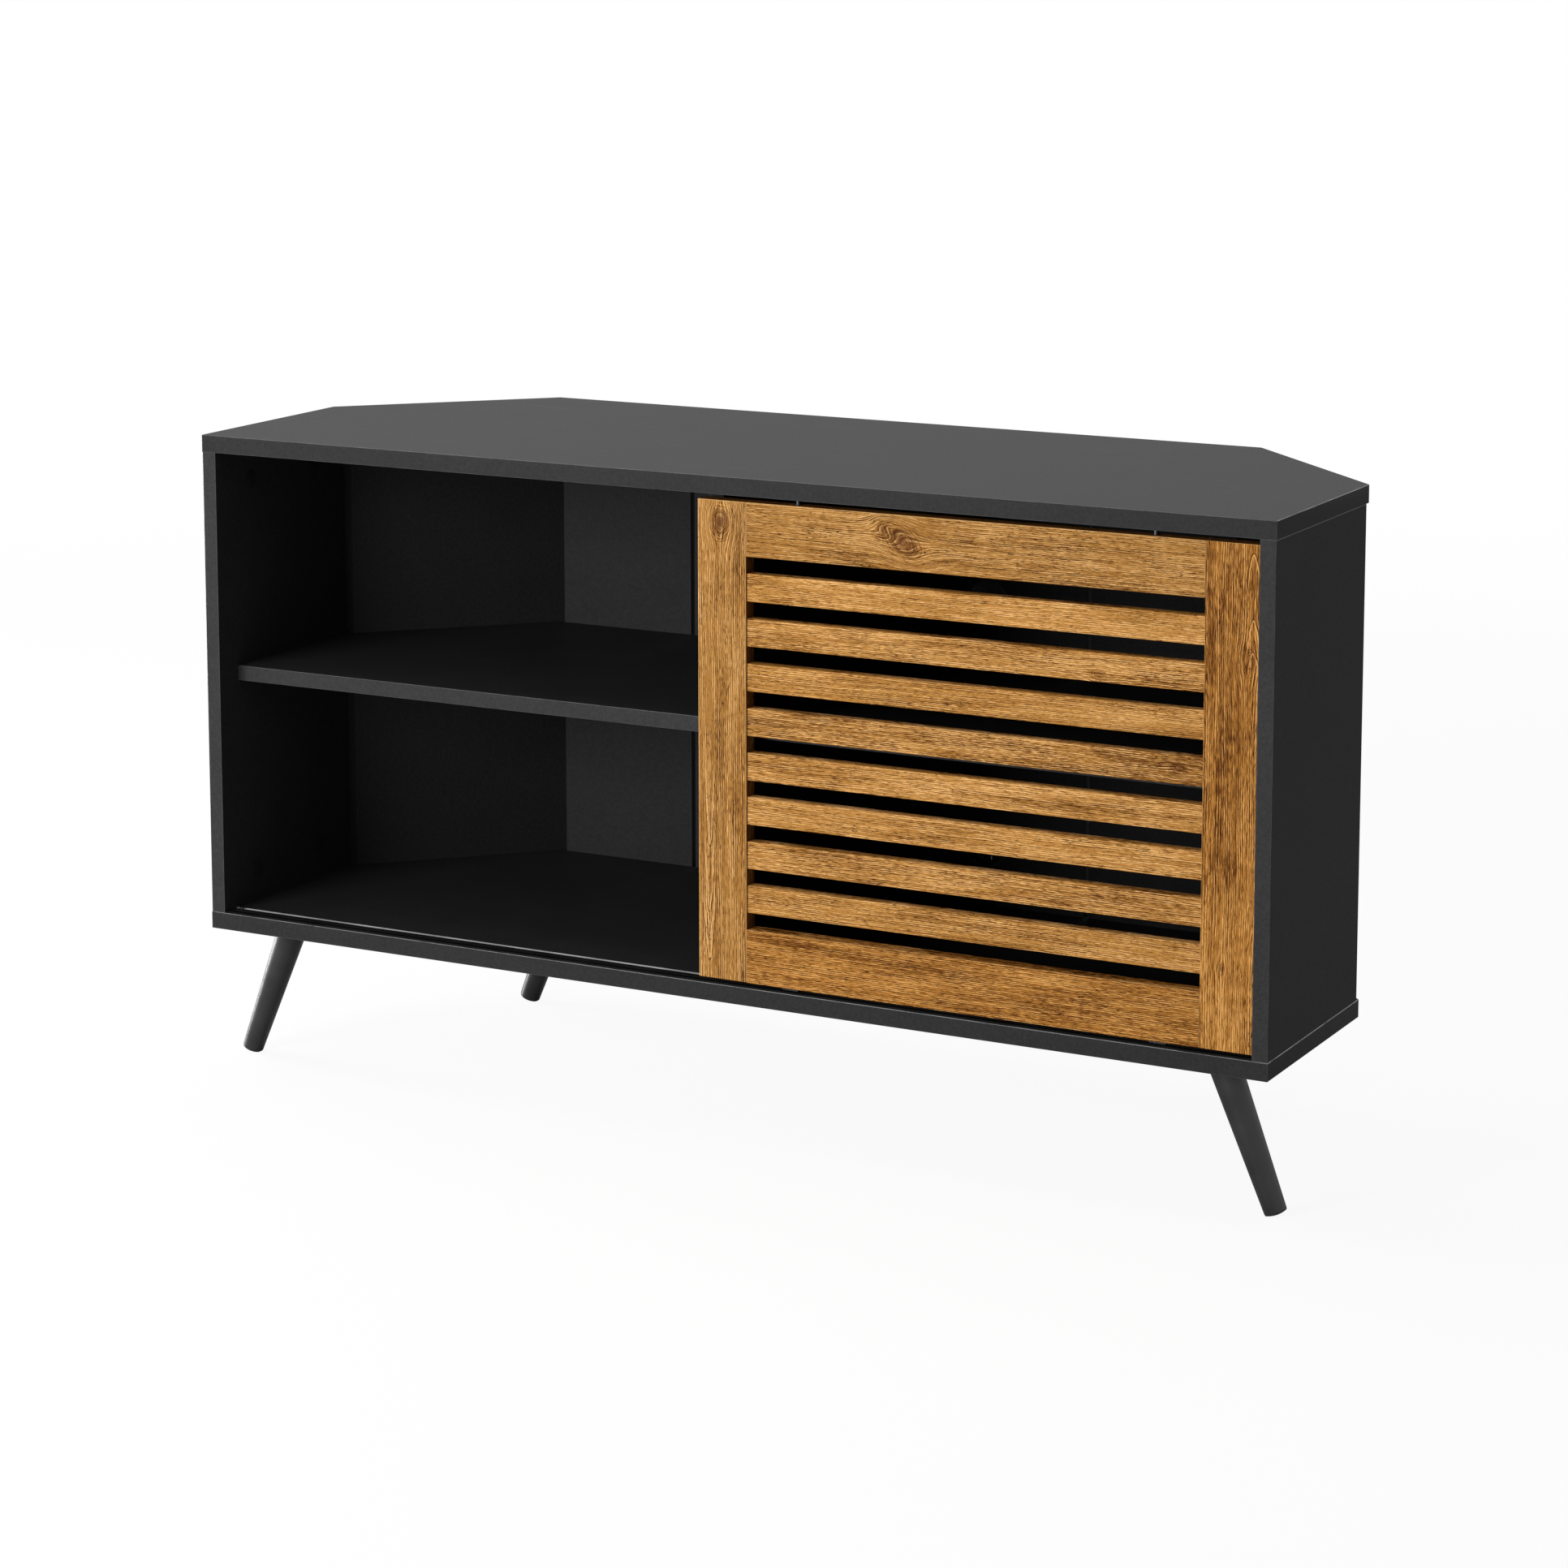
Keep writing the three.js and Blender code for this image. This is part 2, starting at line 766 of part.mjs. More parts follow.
// Legs. In a leg's own group z = 0 is the bottom board's underside and +x is outwards.
const glideCurve = (glideRadius ** 2 + glideDomeHeight ** 2) / (2 * glideDomeHeight);
const glideHeight = glideRimHeight + glideDomeHeight;
const footLift = (glideHeight - glideCurve) * Math.cos(legSplay) + glideCurve - glideFlat;
const legLength = (legHeight - footLift) / Math.cos(legSplay);
const legTaper = (legTopRadius - legFootRadius) / legLength;
const splayed = (geometry) => geometry.rotateY(-legSplay);
const plateTopZ = -fit;
const plateBottomZ = plateTopZ - plateThickness;

function legTube() {
  const rise = legTopRadius;
  const topRadius = legTopRadius + legTaper * rise;
  const tube = splayed(turned([
    [legFootRadius - legWall, -legLength],
    [legFootRadius, -legLength],
    [topRadius, rise],
    [topRadius - legWall, rise],
    [legFootRadius - legWall, -legLength],
  ], legSides));
  const reach = legHeight + legTopRadius;
  const below = box(-reach, reach, -reach, reach, -reach - legHeight, plateBottomZ - fit);
  return common(tube, below);
}

function legPlate() {
  const half = plateSize / 2;
  const corner = half - plateCorner;
  const outline = [
    [-corner, -half],
    [corner, -half],
    [half, -corner],
    [half, corner],
    [corner, half],
    [-corner, half],
    [-half, corner],
    [-half, -corner],
  ];
  const hole = bar(plateHoleRadius, plateBottomZ - overrun, plateTopZ + overrun, smallSides);
  const holes = screwPlaces().map(([x, y]) => hole.clone().translate(x, y, 0));
  const plate = cut(prism(outline, plateBottomZ, plateTopZ), holes);
  const spigotRadius = legTopRadius - legTaper * spigotLength - legWall - fit;
  const spigot = splayed(bar(spigotRadius, -spigotLength, legTopRadius, legSides));
  const below = box(-half, half, -half, half, -plateSize, plateBottomZ + plateThickness / 2);
  return join(plate, [common(spigot, below)]);
}

function glide() {
  const spigotRadius = legFootRadius - legWall - fit;
  const rimTop = -legLength - fit;
  const domeTop = rimTop + fit - glideRimHeight;
  const dome = [];
  const halfAngle = Math.asin(glideRadius / glideCurve);
  for (let i = 0; i <= domeSteps; i += 1) {
    const angle = (halfAngle * i) / domeSteps;
    const drop = glideDomeHeight - glideCurve * (1 - Math.cos(angle));
    dome.push([glideCurve * Math.sin(angle), domeTop - drop]);
  }
  const body = splayed(turned([
    ...dome,
    [glideRadius, rimTop],
    [spigotRadius, rimTop],
    [spigotRadius, glideSpigotLength - legLength],
    [0, glideSpigotLength - legLength],
  ], legSides));
  const reach = legHeight;
  return common(body, box(-reach, reach, -reach, reach, -legHeight, 0));
}

function leg({ word, x, y, turn }) {
  const group = new THREE.Group();
  group.position.set(x, y, undersideZ);
  group.rotation.z = turn;
  group.add(
    piece(`leg_${word}`, legTube(), 'blackMetal'),
    piece(`leg_plate_${word}`, legPlate(), 'blackMetal'),
    piece(`leg_glide_${word}`, glide(), 'blackPlastic'),
  );
  return group;
}

const cabinet = new THREE.Group();
cabinet.name = 'corner_tv_cabinet';
cabinet.add(
  topBoard(),
  bottomBoard(),
  ...uprights.map(uprightPiece),
  ...bothSides.map(shelf),
  ...bothSides.flatMap(shelfPins),
  bottomTrack(),
  ...trackScrews(),
  guideChannel(),
  door(),
  ...legPlaces.map(leg),
);

export default cabinet;
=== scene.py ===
"""Corner TV cabinet: laminated carcass, splayed legs and a sliding slatted door.

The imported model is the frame. Each operator dresses one group of its pieces, in metres and in the
frame's own axes: X along the front, Y to the back, Z up, with the floor at zero.
"""
import json
import math

import bmesh
import bpy
from bpy.props import FloatProperty, FloatVectorProperty, IntProperty, PointerProperty
from mathutils import Matrix, Vector


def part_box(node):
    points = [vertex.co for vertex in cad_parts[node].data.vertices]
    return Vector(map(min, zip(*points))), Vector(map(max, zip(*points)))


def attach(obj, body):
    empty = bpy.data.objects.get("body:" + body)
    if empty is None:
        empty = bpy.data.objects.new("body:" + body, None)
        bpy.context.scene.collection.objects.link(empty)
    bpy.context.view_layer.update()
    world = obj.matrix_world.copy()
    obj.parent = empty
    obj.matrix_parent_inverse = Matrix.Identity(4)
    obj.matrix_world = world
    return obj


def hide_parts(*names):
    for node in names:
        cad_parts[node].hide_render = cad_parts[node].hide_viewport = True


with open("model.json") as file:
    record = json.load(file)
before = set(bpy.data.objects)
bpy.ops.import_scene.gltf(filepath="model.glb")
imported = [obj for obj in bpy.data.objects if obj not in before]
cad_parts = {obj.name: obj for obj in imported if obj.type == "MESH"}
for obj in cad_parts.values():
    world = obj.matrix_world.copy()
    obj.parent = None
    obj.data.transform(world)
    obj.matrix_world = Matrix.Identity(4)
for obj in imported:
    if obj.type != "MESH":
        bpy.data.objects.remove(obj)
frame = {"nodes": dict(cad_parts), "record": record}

bl_info = {
    "name": "Corner TV cabinet",
    "version": (1, 0, 0),
    "blender": (4, 5, 0),
    "location": "3D View > Sidebar > Cabinet",
    "description": "Dresses the packed corner TV cabinet with its boards, door, legs and fittings",
    "category": "Add Mesh",
}

MM = 0.001
SIDES = ("left", "right")
CORNERS = ("front_left", "front_right", "rear_left", "rear_right")
SLATS = tuple(f"door_slat_{i}" for i in range(1, 9))
WHITE = (1.0, 1.0, 1.0, 1.0)


# ---------------------------------------------------------------- sizes and colours


def length(name, description, millimetres):
    """A length that a user may change, given here in millimetres."""
    return FloatProperty(name=name, description=description, default=millimetres * MM, min=0.0,
                         precision=5, unit="LENGTH", subtype="DISTANCE")


def angle(name, description, degrees):
    """An angle that a user may change, given here in degrees."""
    return FloatProperty(name=name, description=description, default=math.radians(degrees),
                         unit="ROTATION", subtype="ANGLE")


def colour(name, description, red, green, blue):
    """A colour that a user may change, given as it looks on a screen from 0 to 255."""
    def linear(value):
        part = value / 255
        return part / 12.92 if part <= 0.04045 else ((part + 0.055) / 1.055) ** 2.4
    return FloatVectorProperty(name=name, description=description, subtype="COLOR", size=4,
                               min=0.0, max=1.0,
                               default=(linear(red), linear(green), linear(blue), 1.0))


class CabinetSizes(bpy.types.PropertyGroup):
    """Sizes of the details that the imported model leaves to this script."""

    board_ease: length("Board edge", "Width of the eased edge of a laminated board", 0.55)
    door_ease: length("Door edge", "Width of the eased edge of a stile or rail", 0.6)
    slat_corner: length("Slat corner", "Corner radius of a slat's section", 0.7)
    small_ease: length("Fitting edge", "Width of the eased edge of a small moulded fitting", 0.25)
    turned_ease: length("Turned edge", "Width of the eased edge of a turned fitting", 0.4)
    leg_splay: angle("Leg splay", "Outward lean of a leg", 21.6)
    leg_top_radius: length("Leg top", "Radius of a leg where it meets its plate", 14.9)
    leg_foot_radius: length("Leg foot", "Radius of a leg at its foot", 10.5)
    leg_length: length("Leg length", "Length of a leg's tube along its axis", 143.876)
    leg_wall: length("Leg wall", "Thickness of the steel tube", 1.6)
    plate_ease: length("Plate edge", "Width of the eased edge of a leg plate", 0.4)
    plate_screw_spread: length("Plate screws", "Half the distance between two plate screws", 23)
    glide_radius: length("Glide radius", "Radius of the glide under a leg", 10.2)
    glide_rim: length("Glide rim", "Height of the glide's straight rim", 0.8)
    glide_dome: length("Glide dome", "Height of the glide's dome", 2.2)
    glide_spigot: length("Glide spigot", "Length of the glide's spigot inside the leg", 9)
    cam_radius: length("Cam radius", "Radius of a cam lock", 7.45)
    cam_depth: length("Cam depth", "Depth of a cam lock", 12)
    cam_end_distance: length("Cam place", "Cam's middle to the end of its upright", 34)
    bolt_radius: length("Bolt radius", "Radius of a cam bolt's shank", 2.7)
    bolt_in_board: length("Bolt depth", "Length of a cam bolt inside the board", 10.4)
    bolt_pitch: length("Bolt pitch", "Distance between two threads of a cam bolt", 1.6)
    cap_radius: length("Cap radius", "Radius of the foil dot over a cam lock", 9.5)
    cap_height: length("Cap height", "Thickness of the dot over a cam lock", 0.3)
    screw_head_radius: length("Screw head", "Radius of a leg screw's head", 4)
    screw_head_height: length("Screw head height", "Height of a leg screw's head", 2.2)
    screw_radius: length("Screw radius", "Radius of a leg screw's shank", 1.9)
    screw_length: length("Screw length", "Length of a leg screw's shank", 15)
    screw_face: length("Screw face", "Leg screw's head below the bottom board", 3.3)
    hole_side: length("Hole side", "Cable hole's middle to the cabinet's middle", 110)
    hole_low: length("Low hole", "Height of the lower cable holes", 217)
    hole_high: length("High hole", "Height of the upper cable holes", 462)
    brush_radius: length("Brush radius", "Inner radius of a cable hole's ring", 21.5)
    brush_ring_radius: length("Ring radius", "Outer radius of the ring in the hole", 24.7)
    brush_flange_radius: length("Ring flange", "Radius of the ring's rear flange", 28.5)
    brush_flange_height: length("Flange height", "Thickness of the ring's rear flange", 1.5)
    bristle_radius: length("Bristle", "Radius of a bristle", 0.36)
    bristles: IntProperty(name="Bristles", description="Bristles in a row", default=76, min=4)
    round_steps: IntProperty(name="Round steps", description="Segments round a turned piece",
                             default=64, min=12, max=128)


class CabinetColours(bpy.types.PropertyGroup):
    """Colours of the finishes."""

    laminate: colour("Laminate", "Face of the outer boards", 43, 43, 44)
    # Faces inside the bays take a darker copy of the laminate: painted shade.
    interior: colour("Laminate in shade", "Face of the boards inside", 36, 36, 37)
    # The front edges of the side panels and shelves take a lighter copy of the laminate: painted
    # light.
    edge_band: colour("Lit front edge", "Front edge of a side panel or a shelf", 50, 50, 51)
    # Eased edges are lighter than the face, partly from wear and partly as a painted highlight.
    laminate_edge: colour("Lit and worn edge", "Eased edge of a board", 78, 78, 79)
    # Front edge highlight: a light grey painted highlight along the bottom board's upper front
    # edge.
    worn_edge: colour("Front edge highlight", "Front edge of the bottom board", 122, 122, 123)
    # Top side edge highlight: a pale painted highlight on the top board's side edges.
    rubbed_edge: colour("Top side edge highlight", "Side edges of the top board", 180, 180, 181)
    # Bottom side edge highlight: a near white painted highlight on the bottom board's side edges.
    bright_edge: colour("Bright edge", "Side edges of the bottom board", 246, 246, 246)
    dust: colour("Dust", "Fine dust on upward faces", 120, 117, 112)
    wood: colour("Wood", "Middle tone of the door's wood", 173, 121, 57)
    # The light and dark grain colours are partly the wood's own lines and partly painted highlight
    # and painted shade of the brushed relief.
    wood_light: colour("Light wood", "Brushed ridges of the grain", 238, 187, 122)
    wood_dark: colour("Dark wood", "Lines between the ridges", 80, 41, 7)
    wood_pore: colour("Pores", "Open pores of the wood", 34, 19, 7)
    knot: colour("Knot", "Core of a knot", 104, 62, 30)
    powder_coat: colour("Powder coat", "Legs and their plates", 36, 36, 37)
    steel: colour("Steel", "Zinc-plated fittings", 150, 152, 154)
    dull_steel: colour("Dull steel", "Guide pins and track screws", 84, 86, 90)
    black_plastic: colour("Black plastic", "Channel, housings, rings and glides", 27, 27, 28)
    flange: colour("Front flange", "Front part and edges of the bottom track", 17, 17, 18)
    # The front flange's colour is darker than the black plastic: a painted shadow of the door.
    track: colour("Track", "Light rear lip of the bottom track", 215, 215, 217)
    nylon: colour("Nylon", "Wheels and sleeves, smoke grey", 62, 62, 62)
    floor: colour("Floor", "Plain pale floor", 196, 196, 196)


class CabinetStudio(bpy.types.PropertyGroup):
    """Camera, lamps and floor."""

    lens: FloatProperty(name="Lens", description="Focal length in millimetres on a 36 mm frame",
                        default=95.307, min=1.0)
    shift: FloatProperty(name="Shift", description="Upward shift of the frame", default=-0.2)
    place: FloatVectorProperty(name="Camera place", description="Where the camera stands",
                               default=(1.8159, -3.4812, 1.2085), subtype="TRANSLATION",
                               unit="LENGTH")
    yaw: angle("Yaw", "Turn of the camera to the left", 27.821)
    pitch: angle("Pitch", "Tilt of the camera downwards", 8.663)
    roll: angle("Roll", "Lean of the camera to the left", -0.036)
    ambient: FloatProperty(name="Ambient", description="Strength of the world on the object",
                           default=0.24, min=0.0)
    floor_glow: FloatProperty(name="Floor glow", description="Share of plain white in the floor",
                              default=0.92, min=0.0, max=1.0)
    floor_radius: FloatProperty(name="Floor radius", description="Radius of the round floor",
                                default=60.0, min=1.0, unit="LENGTH", subtype="DISTANCE")


# ---------------------------------------------------------------- nodes


class Value:
    """One output of a node. Sums and products with it add Math nodes."""

    def __init__(self, kit, socket):
        self.kit, self.socket = kit, socket

    def __add__(self, other):
        return self.kit.math("ADD", self, other)

    def __sub__(self, other):
        return self.kit.math("SUBTRACT", self, other)

    def __mul__(self, other):
        return self.kit.math("MULTIPLY", self, other)

    def __truediv__(self, other):
        return self.kit.math("DIVIDE", self, other)

    __radd__ = __add__


class NodeKit:
    """Adds nodes to one tree. An input is given a number, a colour or a Value."""

    def __init__(self, tree):
        self.tree = tree

    def feed(self, socket, value):
        """Links a Value to an input, or sets the input to a constant."""
        if isinstance(value, Value):
            self.tree.links.new(value.socket, socket)
        else:
            socket.default_value = value

    def node(self, kind, inputs=None, **settings):
        """Adds a node and gives its outputs."""
        made = self.tree.nodes.new(kind)
        for key, value in settings.items():
            setattr(made, key, value)
        for key, value in (inputs or {}).items():
            self.feed(made.inputs[key], value)
        return made.outputs

    def add(self, kind, inputs=None, output=0, **settings):
        """Adds a node and gives one of its outputs as a Value."""
        return Value(self, self.node(kind, inputs, **settings)[output])

    def values(self, kind, inputs=None, **settings):
        """Adds a node and gives its outputs as Values, by name."""
        outputs = self.node(kind, inputs, **settings)
        return {socket.name: Value(self, socket) for socket in outputs}

    def math(self, operation, *values):
        return self.add("ShaderNodeMath", dict(enumerate(values)), operation=operation)

    def vector(self, x=0.0, y=0.0, z=0.0):
        return self.add("ShaderNodeCombineXYZ", {"X": x, "Y": y, "Z": z})

    def split(self, vector):
        return tuple(self.values("ShaderNodeSeparateXYZ", {"Vector": vector}).values())

    def vector_math(self, operation, first, second):
        return self.add("ShaderNodeVectorMath", {0: first, 1: second}, operation=operation)

    def noise(self, vector, scale=1.0, detail=2.0, roughness=0.5, distortion=0.0, stretch=None):
        """Noise from 0 to 1, of a vector that may be stretched first."""
        if stretch:
            vector = self.vector_math("MULTIPLY", vector, stretch)
        return self.add("ShaderNodeTexNoise",
                        {"Vector": vector, "Scale": scale, "Detail": detail,
                         "Roughness": roughness, "Distortion": distortion})

    def centred(self, vector, stretch, detail):
        """Noise of a stretched vector, about zero."""
        return self.noise(vector, detail=detail, stretch=stretch) - 0.5

    def rise(self, value, low, high, to_low=0.0, to_high=1.0):
        """A smooth change from to_low to to_high while value goes from low to high."""
        return self.add("ShaderNodeMapRange",
                        {"Value": value, "From Min": low, "From Max": high, "To Min": to_low,
                         "To Max": to_high}, interpolation_type="SMOOTHSTEP")

    def fall(self, value, low, high):
        """A smooth change from 1 to 0 while value goes from low to high."""
        return self.rise(value, low, high, 1.0, 0.0)

    def mix(self, share, first, second, blend="MIX"):
        return self.add("ShaderNodeMix", {0: share, 6: first, 7: second}, 2, data_type="RGBA",
                        blend_type=blend)

    def tinted(self, base, red, green, blue):
        """A colour multiplied by three numbers."""
        return self.mix(1.0, base, (red, green, blue, 1.0), "MULTIPLY")

    def varied(self, base, share, darkest, lightest):
        """A colour between a darker and a lighter tone of itself."""
        return self.mix(share, self.tinted(base, darkest, darkest, darkest),
                        self.tinted(base, lightest, lightest, lightest))

    def group(self, tree, **inputs):
        return self.values("ShaderNodeGroup", inputs, node_tree=tree())

    def object_place(self):
        """Object coordinates in millimetres."""
        place = self.add("ShaderNodeTexCoord", output="Object")
        return self.vector_math("MULTIPLY", place, (1 / MM, 1 / MM, 1 / MM))

    def surface(self, base, roughness, height, millimetres, strength, **constants):
        """The Principled shader with its bump. Constants go on the shader's own sockets."""
        bump = self.add("ShaderNodeBump", {"Height": height, "Distance": millimetres * MM,
                                           "Strength": strength})
        inputs = {"Base Color": base, "Roughness": roughness, "Normal": bump}
        inputs |= {key.replace("_", " "): value for key, value in constants.items()}
        self.node("ShaderNodeOutputMaterial",
                  {"Surface": self.add("ShaderNodeBsdfPrincipled", inputs)})


def add_sockets(tree, way, kinds):
    """Adds named sockets to a tree. A kind ends the name of its socket type."""
    return [tree.interface.new_socket(name=name, in_out=way, socket_type=f"NodeSocket{kind}")
            for name, kind in kinds.items()]


# ---------------------------------------------------------------- shader groups


ORIGIN = (0.0, 0.0, 0.0)
DARK = (0.03, 0.03, 0.03, 1.0)
BROWN = (0.46, 0.25, 0.07, 1.0)


def shader_group(name, **defaults):
    """Makes a function that gives the node group called name, built when first asked for.

    An input's default says its kind. The function under it gets a kit and the inputs, and gives
    the outputs by name, of which only Color isn't a number."""
    def kind(default):
        return {ORIGIN: "Vector"}.get(default, "Color" if isinstance(default, tuple) else "Float")

    def named(build):
        def tree():
            ready = bpy.data.node_groups.get(name)
            if ready:
                return ready
            made = bpy.data.node_groups.new(name, "ShaderNodeTree")
            sockets = add_sockets(made, "INPUT",
                                  {label: kind(value) for label, value in defaults.items()})
            for socket, value in zip(sockets, defaults.values()):
                socket.default_value = value
            kit = NodeKit(made)
            results = build(kit, kit.values("NodeGroupInput"))
            add_sockets(made, "OUTPUT",
                        {label: "Color" if label == "Color" else "Float" for label in results})
            kit.node("NodeGroupOutput", results)
            return made
        return tree
    return named


@shader_group("Laminate face", Place=ORIGIN, Color=DARK, Variation=0.25, Roughness=0.5)
def laminate_group(kit, given):
    """A printed laminate: a fine matt emboss, faint clouds and small rubbed marks."""
    place = given["Place"]
    pebble = kit.noise(place, 2.4, 2.0, 0.6)
    fleck = kit.noise(place, 5.6, 1.0)
    cloud = kit.noise(place, 0.011, 3.0, 0.55) - 0.5
    rub = kit.rise(kit.noise(place, 1.0, 3.0, 0.7, 0.6, (0.012, 0.05, 0.03)), 0.6, 0.72)
    mottle = kit.centred(place, (0.34, 0.34, 0.34), 2.0)
    tone = cloud * given["Variation"] + (pebble - 0.5) * 0.9 + mottle * 0.5 + rub * 0.03
    return {"Color": kit.varied(given["Color"], kit.rise(tone, -0.6, 0.6), 0.4, 1.7),
            "Roughness": given["Roughness"] + cloud * 0.04 + rub * -0.02 + (fleck - 0.5) * 0.1,
            "Height": pebble * 0.7 + fleck * 0.3}


@shader_group("Settled dust", Place=ORIGIN, Color=DARK, Dust=DARK, Amount=0.05)
def dust_group(kit, given):
    """Fine dust that settles where a face looks up."""
    up = kit.split(kit.add("ShaderNodeNewGeometry", output="Normal"))[2]
    patches = kit.rise(kit.noise(given["Place"], 0.017, 4.0, 0.6), 0.38, 0.7)
    specks = kit.rise(kit.noise(given["Place"], 0.6, 1.0), 0.745, 0.775)
    amount = kit.rise(up, 0.4, 0.95) * (patches * 0.5 + specks * 8.0) * given["Amount"]
    return {"Color": kit.mix(amount, given["Color"], given["Dust"])}


@shader_group("Edge wear", Place=ORIGIN, Color=DARK, Worn=DARK, Amount=0.6)
def edge_wear_and_highlight_group(kit, given):
    """Wear and a painted highlight along an eased edge: lighter nearly all along, with gaps in the
    runs.
    """
    runs = kit.noise(given["Place"], 0.03, 3.0, 0.65)
    nicks = kit.noise(given["Place"], 0.5, 2.0, 0.6)
    # Where the edge turns lighter: wear and painted highlight together.
    wear_and_highlight = kit.rise(runs * 0.7 + nicks * 0.3, 0.32, 0.58)
    return {"Color": kit.mix(wear_and_highlight * given["Amount"], given["Color"], given["Worn"])}


@shader_group("Coated skin", Place=ORIGIN, Color=DARK, Roughness=0.4)
def coat_group(kit, given):
    """A sprayed or moulded skin: orange peel, fine specks and soft unevenness."""
    peel = kit.noise(given["Place"], 0.9, 2.0)
    grit = kit.noise(given["Place"], 3.2, 1.0)
    cloud = kit.noise(given["Place"], 0.03, 2.0) - 0.5
    tone = cloud * 0.8 + (grit - 0.5) * 0.7
    return {"Color": kit.varied(given["Color"], kit.rise(tone, -0.3, 0.3), 0.6, 1.5),
            "Roughness": given["Roughness"] + cloud * 0.2 + (grit - 0.5) * 0.12,
            "Height": peel * 0.7 + grit * 0.3}


@shader_group("Knot", Grain=ORIGIN, Along=0.0, Across=0.0, Length=10.0, Width=8.0, Turn=0.0,
              Reach=4.0)
def knot_group(kit, given):
    """One knot: how far it pushes the grain aside, and its core, rim and rings."""
    along, across, _ = kit.split(given["Grain"])
    uneven = kit.noise(given["Grain"], 0.11, 2.0, 0.6) - 0.5
    du, dv = along - given["Along"], across - given["Across"]
    cos, sin = kit.math("COSINE", given["Turn"]), kit.math("SINE", given["Turn"])
    ratio_u = (du * cos + dv * sin) / given["Length"]
    ratio_v = (dv * cos - du * sin) / given["Width"]
    square = ratio_u * ratio_u + ratio_v * ratio_v
    distance = kit.math("SQRT", square) + uneven * 0.5
    fade = kit.math("EXPONENT", square / (given["Reach"] * -1.0))
    waves = kit.math("SINE", distance * 22.0 + uneven * 3.5)
    return {"Push": dv * fade * -0.92,
            "Core": kit.fall(distance, 0.8, 1.7) * 0.4 + kit.fall(distance, 0.2, 0.75) * 0.5,
            "Rim": kit.rise(distance, 0.82, 0.98) * kit.fall(distance, 1.0, 1.2),
            "Rings": kit.rise(waves, -0.1, 0.8) * kit.fall(distance, 1.0, 2.7)}


@shader_group("Growth arch", Grain=ORIGIN, Along=0.0, Across=0.0, Direction=1.0, Curve=0.5,
              Length=100.0)
def arch_group(kit, given):
    """One growth line that turns back on itself: a dark outline with a light line inside."""
    along, across, _ = kit.split(given["Grain"])
    dv = across - given["Across"] + kit.centred(given["Grain"], (0.05, 0.12, 0.1), 2.0) * 3.0
    ahead = (along - given["Along"]) * given["Direction"]
    ahead = ahead + kit.centred(given["Grain"], (0.09, 0.2, 0.1), 1.0) * 4.0
    slope = dv * given["Curve"] * 2.0
    distance = ((ahead - dv * dv * given["Curve"])
                / kit.math("SQRT", slope * slope + 1.0))
    fade = kit.fall(ahead, given["Length"] * 0.5, given["Length"])
    return {"Lines": kit.rise(distance, -0.9, -0.2) * kit.fall(distance, 0.2, 0.9) * fade,
            "Glints": kit.rise(distance, 0.4, 1.0) * kit.fall(distance, 1.4, 3.2) * fade}


@shader_group("Brushed wood", Grain=ORIGIN, Board=0.0, Push=0.0, Tone=0.0, Wander=10.0,
              Spacing=2.0, Dash=0.06, Middle=BROWN, Light=BROWN, Dark=BROWN, Pore=BROWN)
def wood_group(kit, given):
    """Brushed wood. Grain holds millimetres along, across and into the board."""
    board, tone = given["Board"], given["Tone"]
    place = kit.vector_math("ADD", given["Grain"],
                            kit.vector(board * 431.0, board * 87.0, board * 59.0))
    along, across, deep = kit.split(place)
    wander = kit.centred(place, (0.0065, 0.024, 0.024), 2.0)
    sway = kit.centred(place, (0.030, 0.09, 0.09), 2.0)
    ripple = kit.centred(place, (0.085, 0.42, 0.3), 1.0)
    across = across + given["Push"] + wander * given["Wander"] + sway * 0.7 + ripple * 0.22
    line = kit.vector(along * given["Dash"], across, deep)
    turns = across * kit.math("DIVIDE", 2 * math.pi, given["Spacing"])
    grooves = (kit.rise(kit.math("SINE", turns), 0.1, 0.95)
               * kit.rise(kit.noise(line, stretch=(0.28, 0.62, 0.4)), 0.42, 0.60))
    ridges = (kit.rise(kit.math("SINE", turns + 2.3), 0.2, 0.97)
              * kit.rise(kit.noise(line, 1.3, stretch=(0.36, 0.74, 0.4)), 0.42, 0.58))
    fibres = kit.centred(line, (3.0, 2.3, 0.8), 2.0)
    bands = kit.centred(line, (0.10, 0.15, 0.1), 2.0)
    cloud = kit.centred(place, (0.007, 0.03, 0.03), 2.0)
    where = kit.rise(kit.noise(place, stretch=(0.016, 0.05, 0.05)), 0.5, 0.68)
    cracks = kit.noise(line, detail=1.0, stretch=(5.2, 1.9, 0.6))
    pores = kit.rise(cracks, 0.635, 0.675) * (where * 0.3 + 0.7)
    board_tone = kit.math("FRACT", board * 0.618) - 0.5
    # Grooves take the dark colour and ridges the light one: grain lines, partly painted shade and
    # painted highlight of the brushed relief.
    shade = (grooves * 0.5 + fibres * -2.1 + bands * 0.55 + cloud * 0.8 + where * 0.14
             + board_tone * 0.24 + tone * -1.0)
    glow = ridges * 0.54 + fibres * 1.8 + bands * -0.5 + cloud * -0.6 + tone * 0.6
    toned = kit.mix(kit.rise(shade, 0.0, 0.6), given["Middle"], given["Dark"])
    toned = kit.mix(kit.rise(glow, 0.04, 0.6), toned, given["Light"])
    return {"Color": kit.mix(pores * 0.92, toned, given["Pore"]),
            "Roughness": pores * 0.3 + 0.58 + grooves * 0.14 + ridges * -0.08,
            "Height": ridges * 0.5 + grooves * -0.7 + fibres * 0.8 + pores * -0.8}


# ---------------------------------------------------------------- finishes


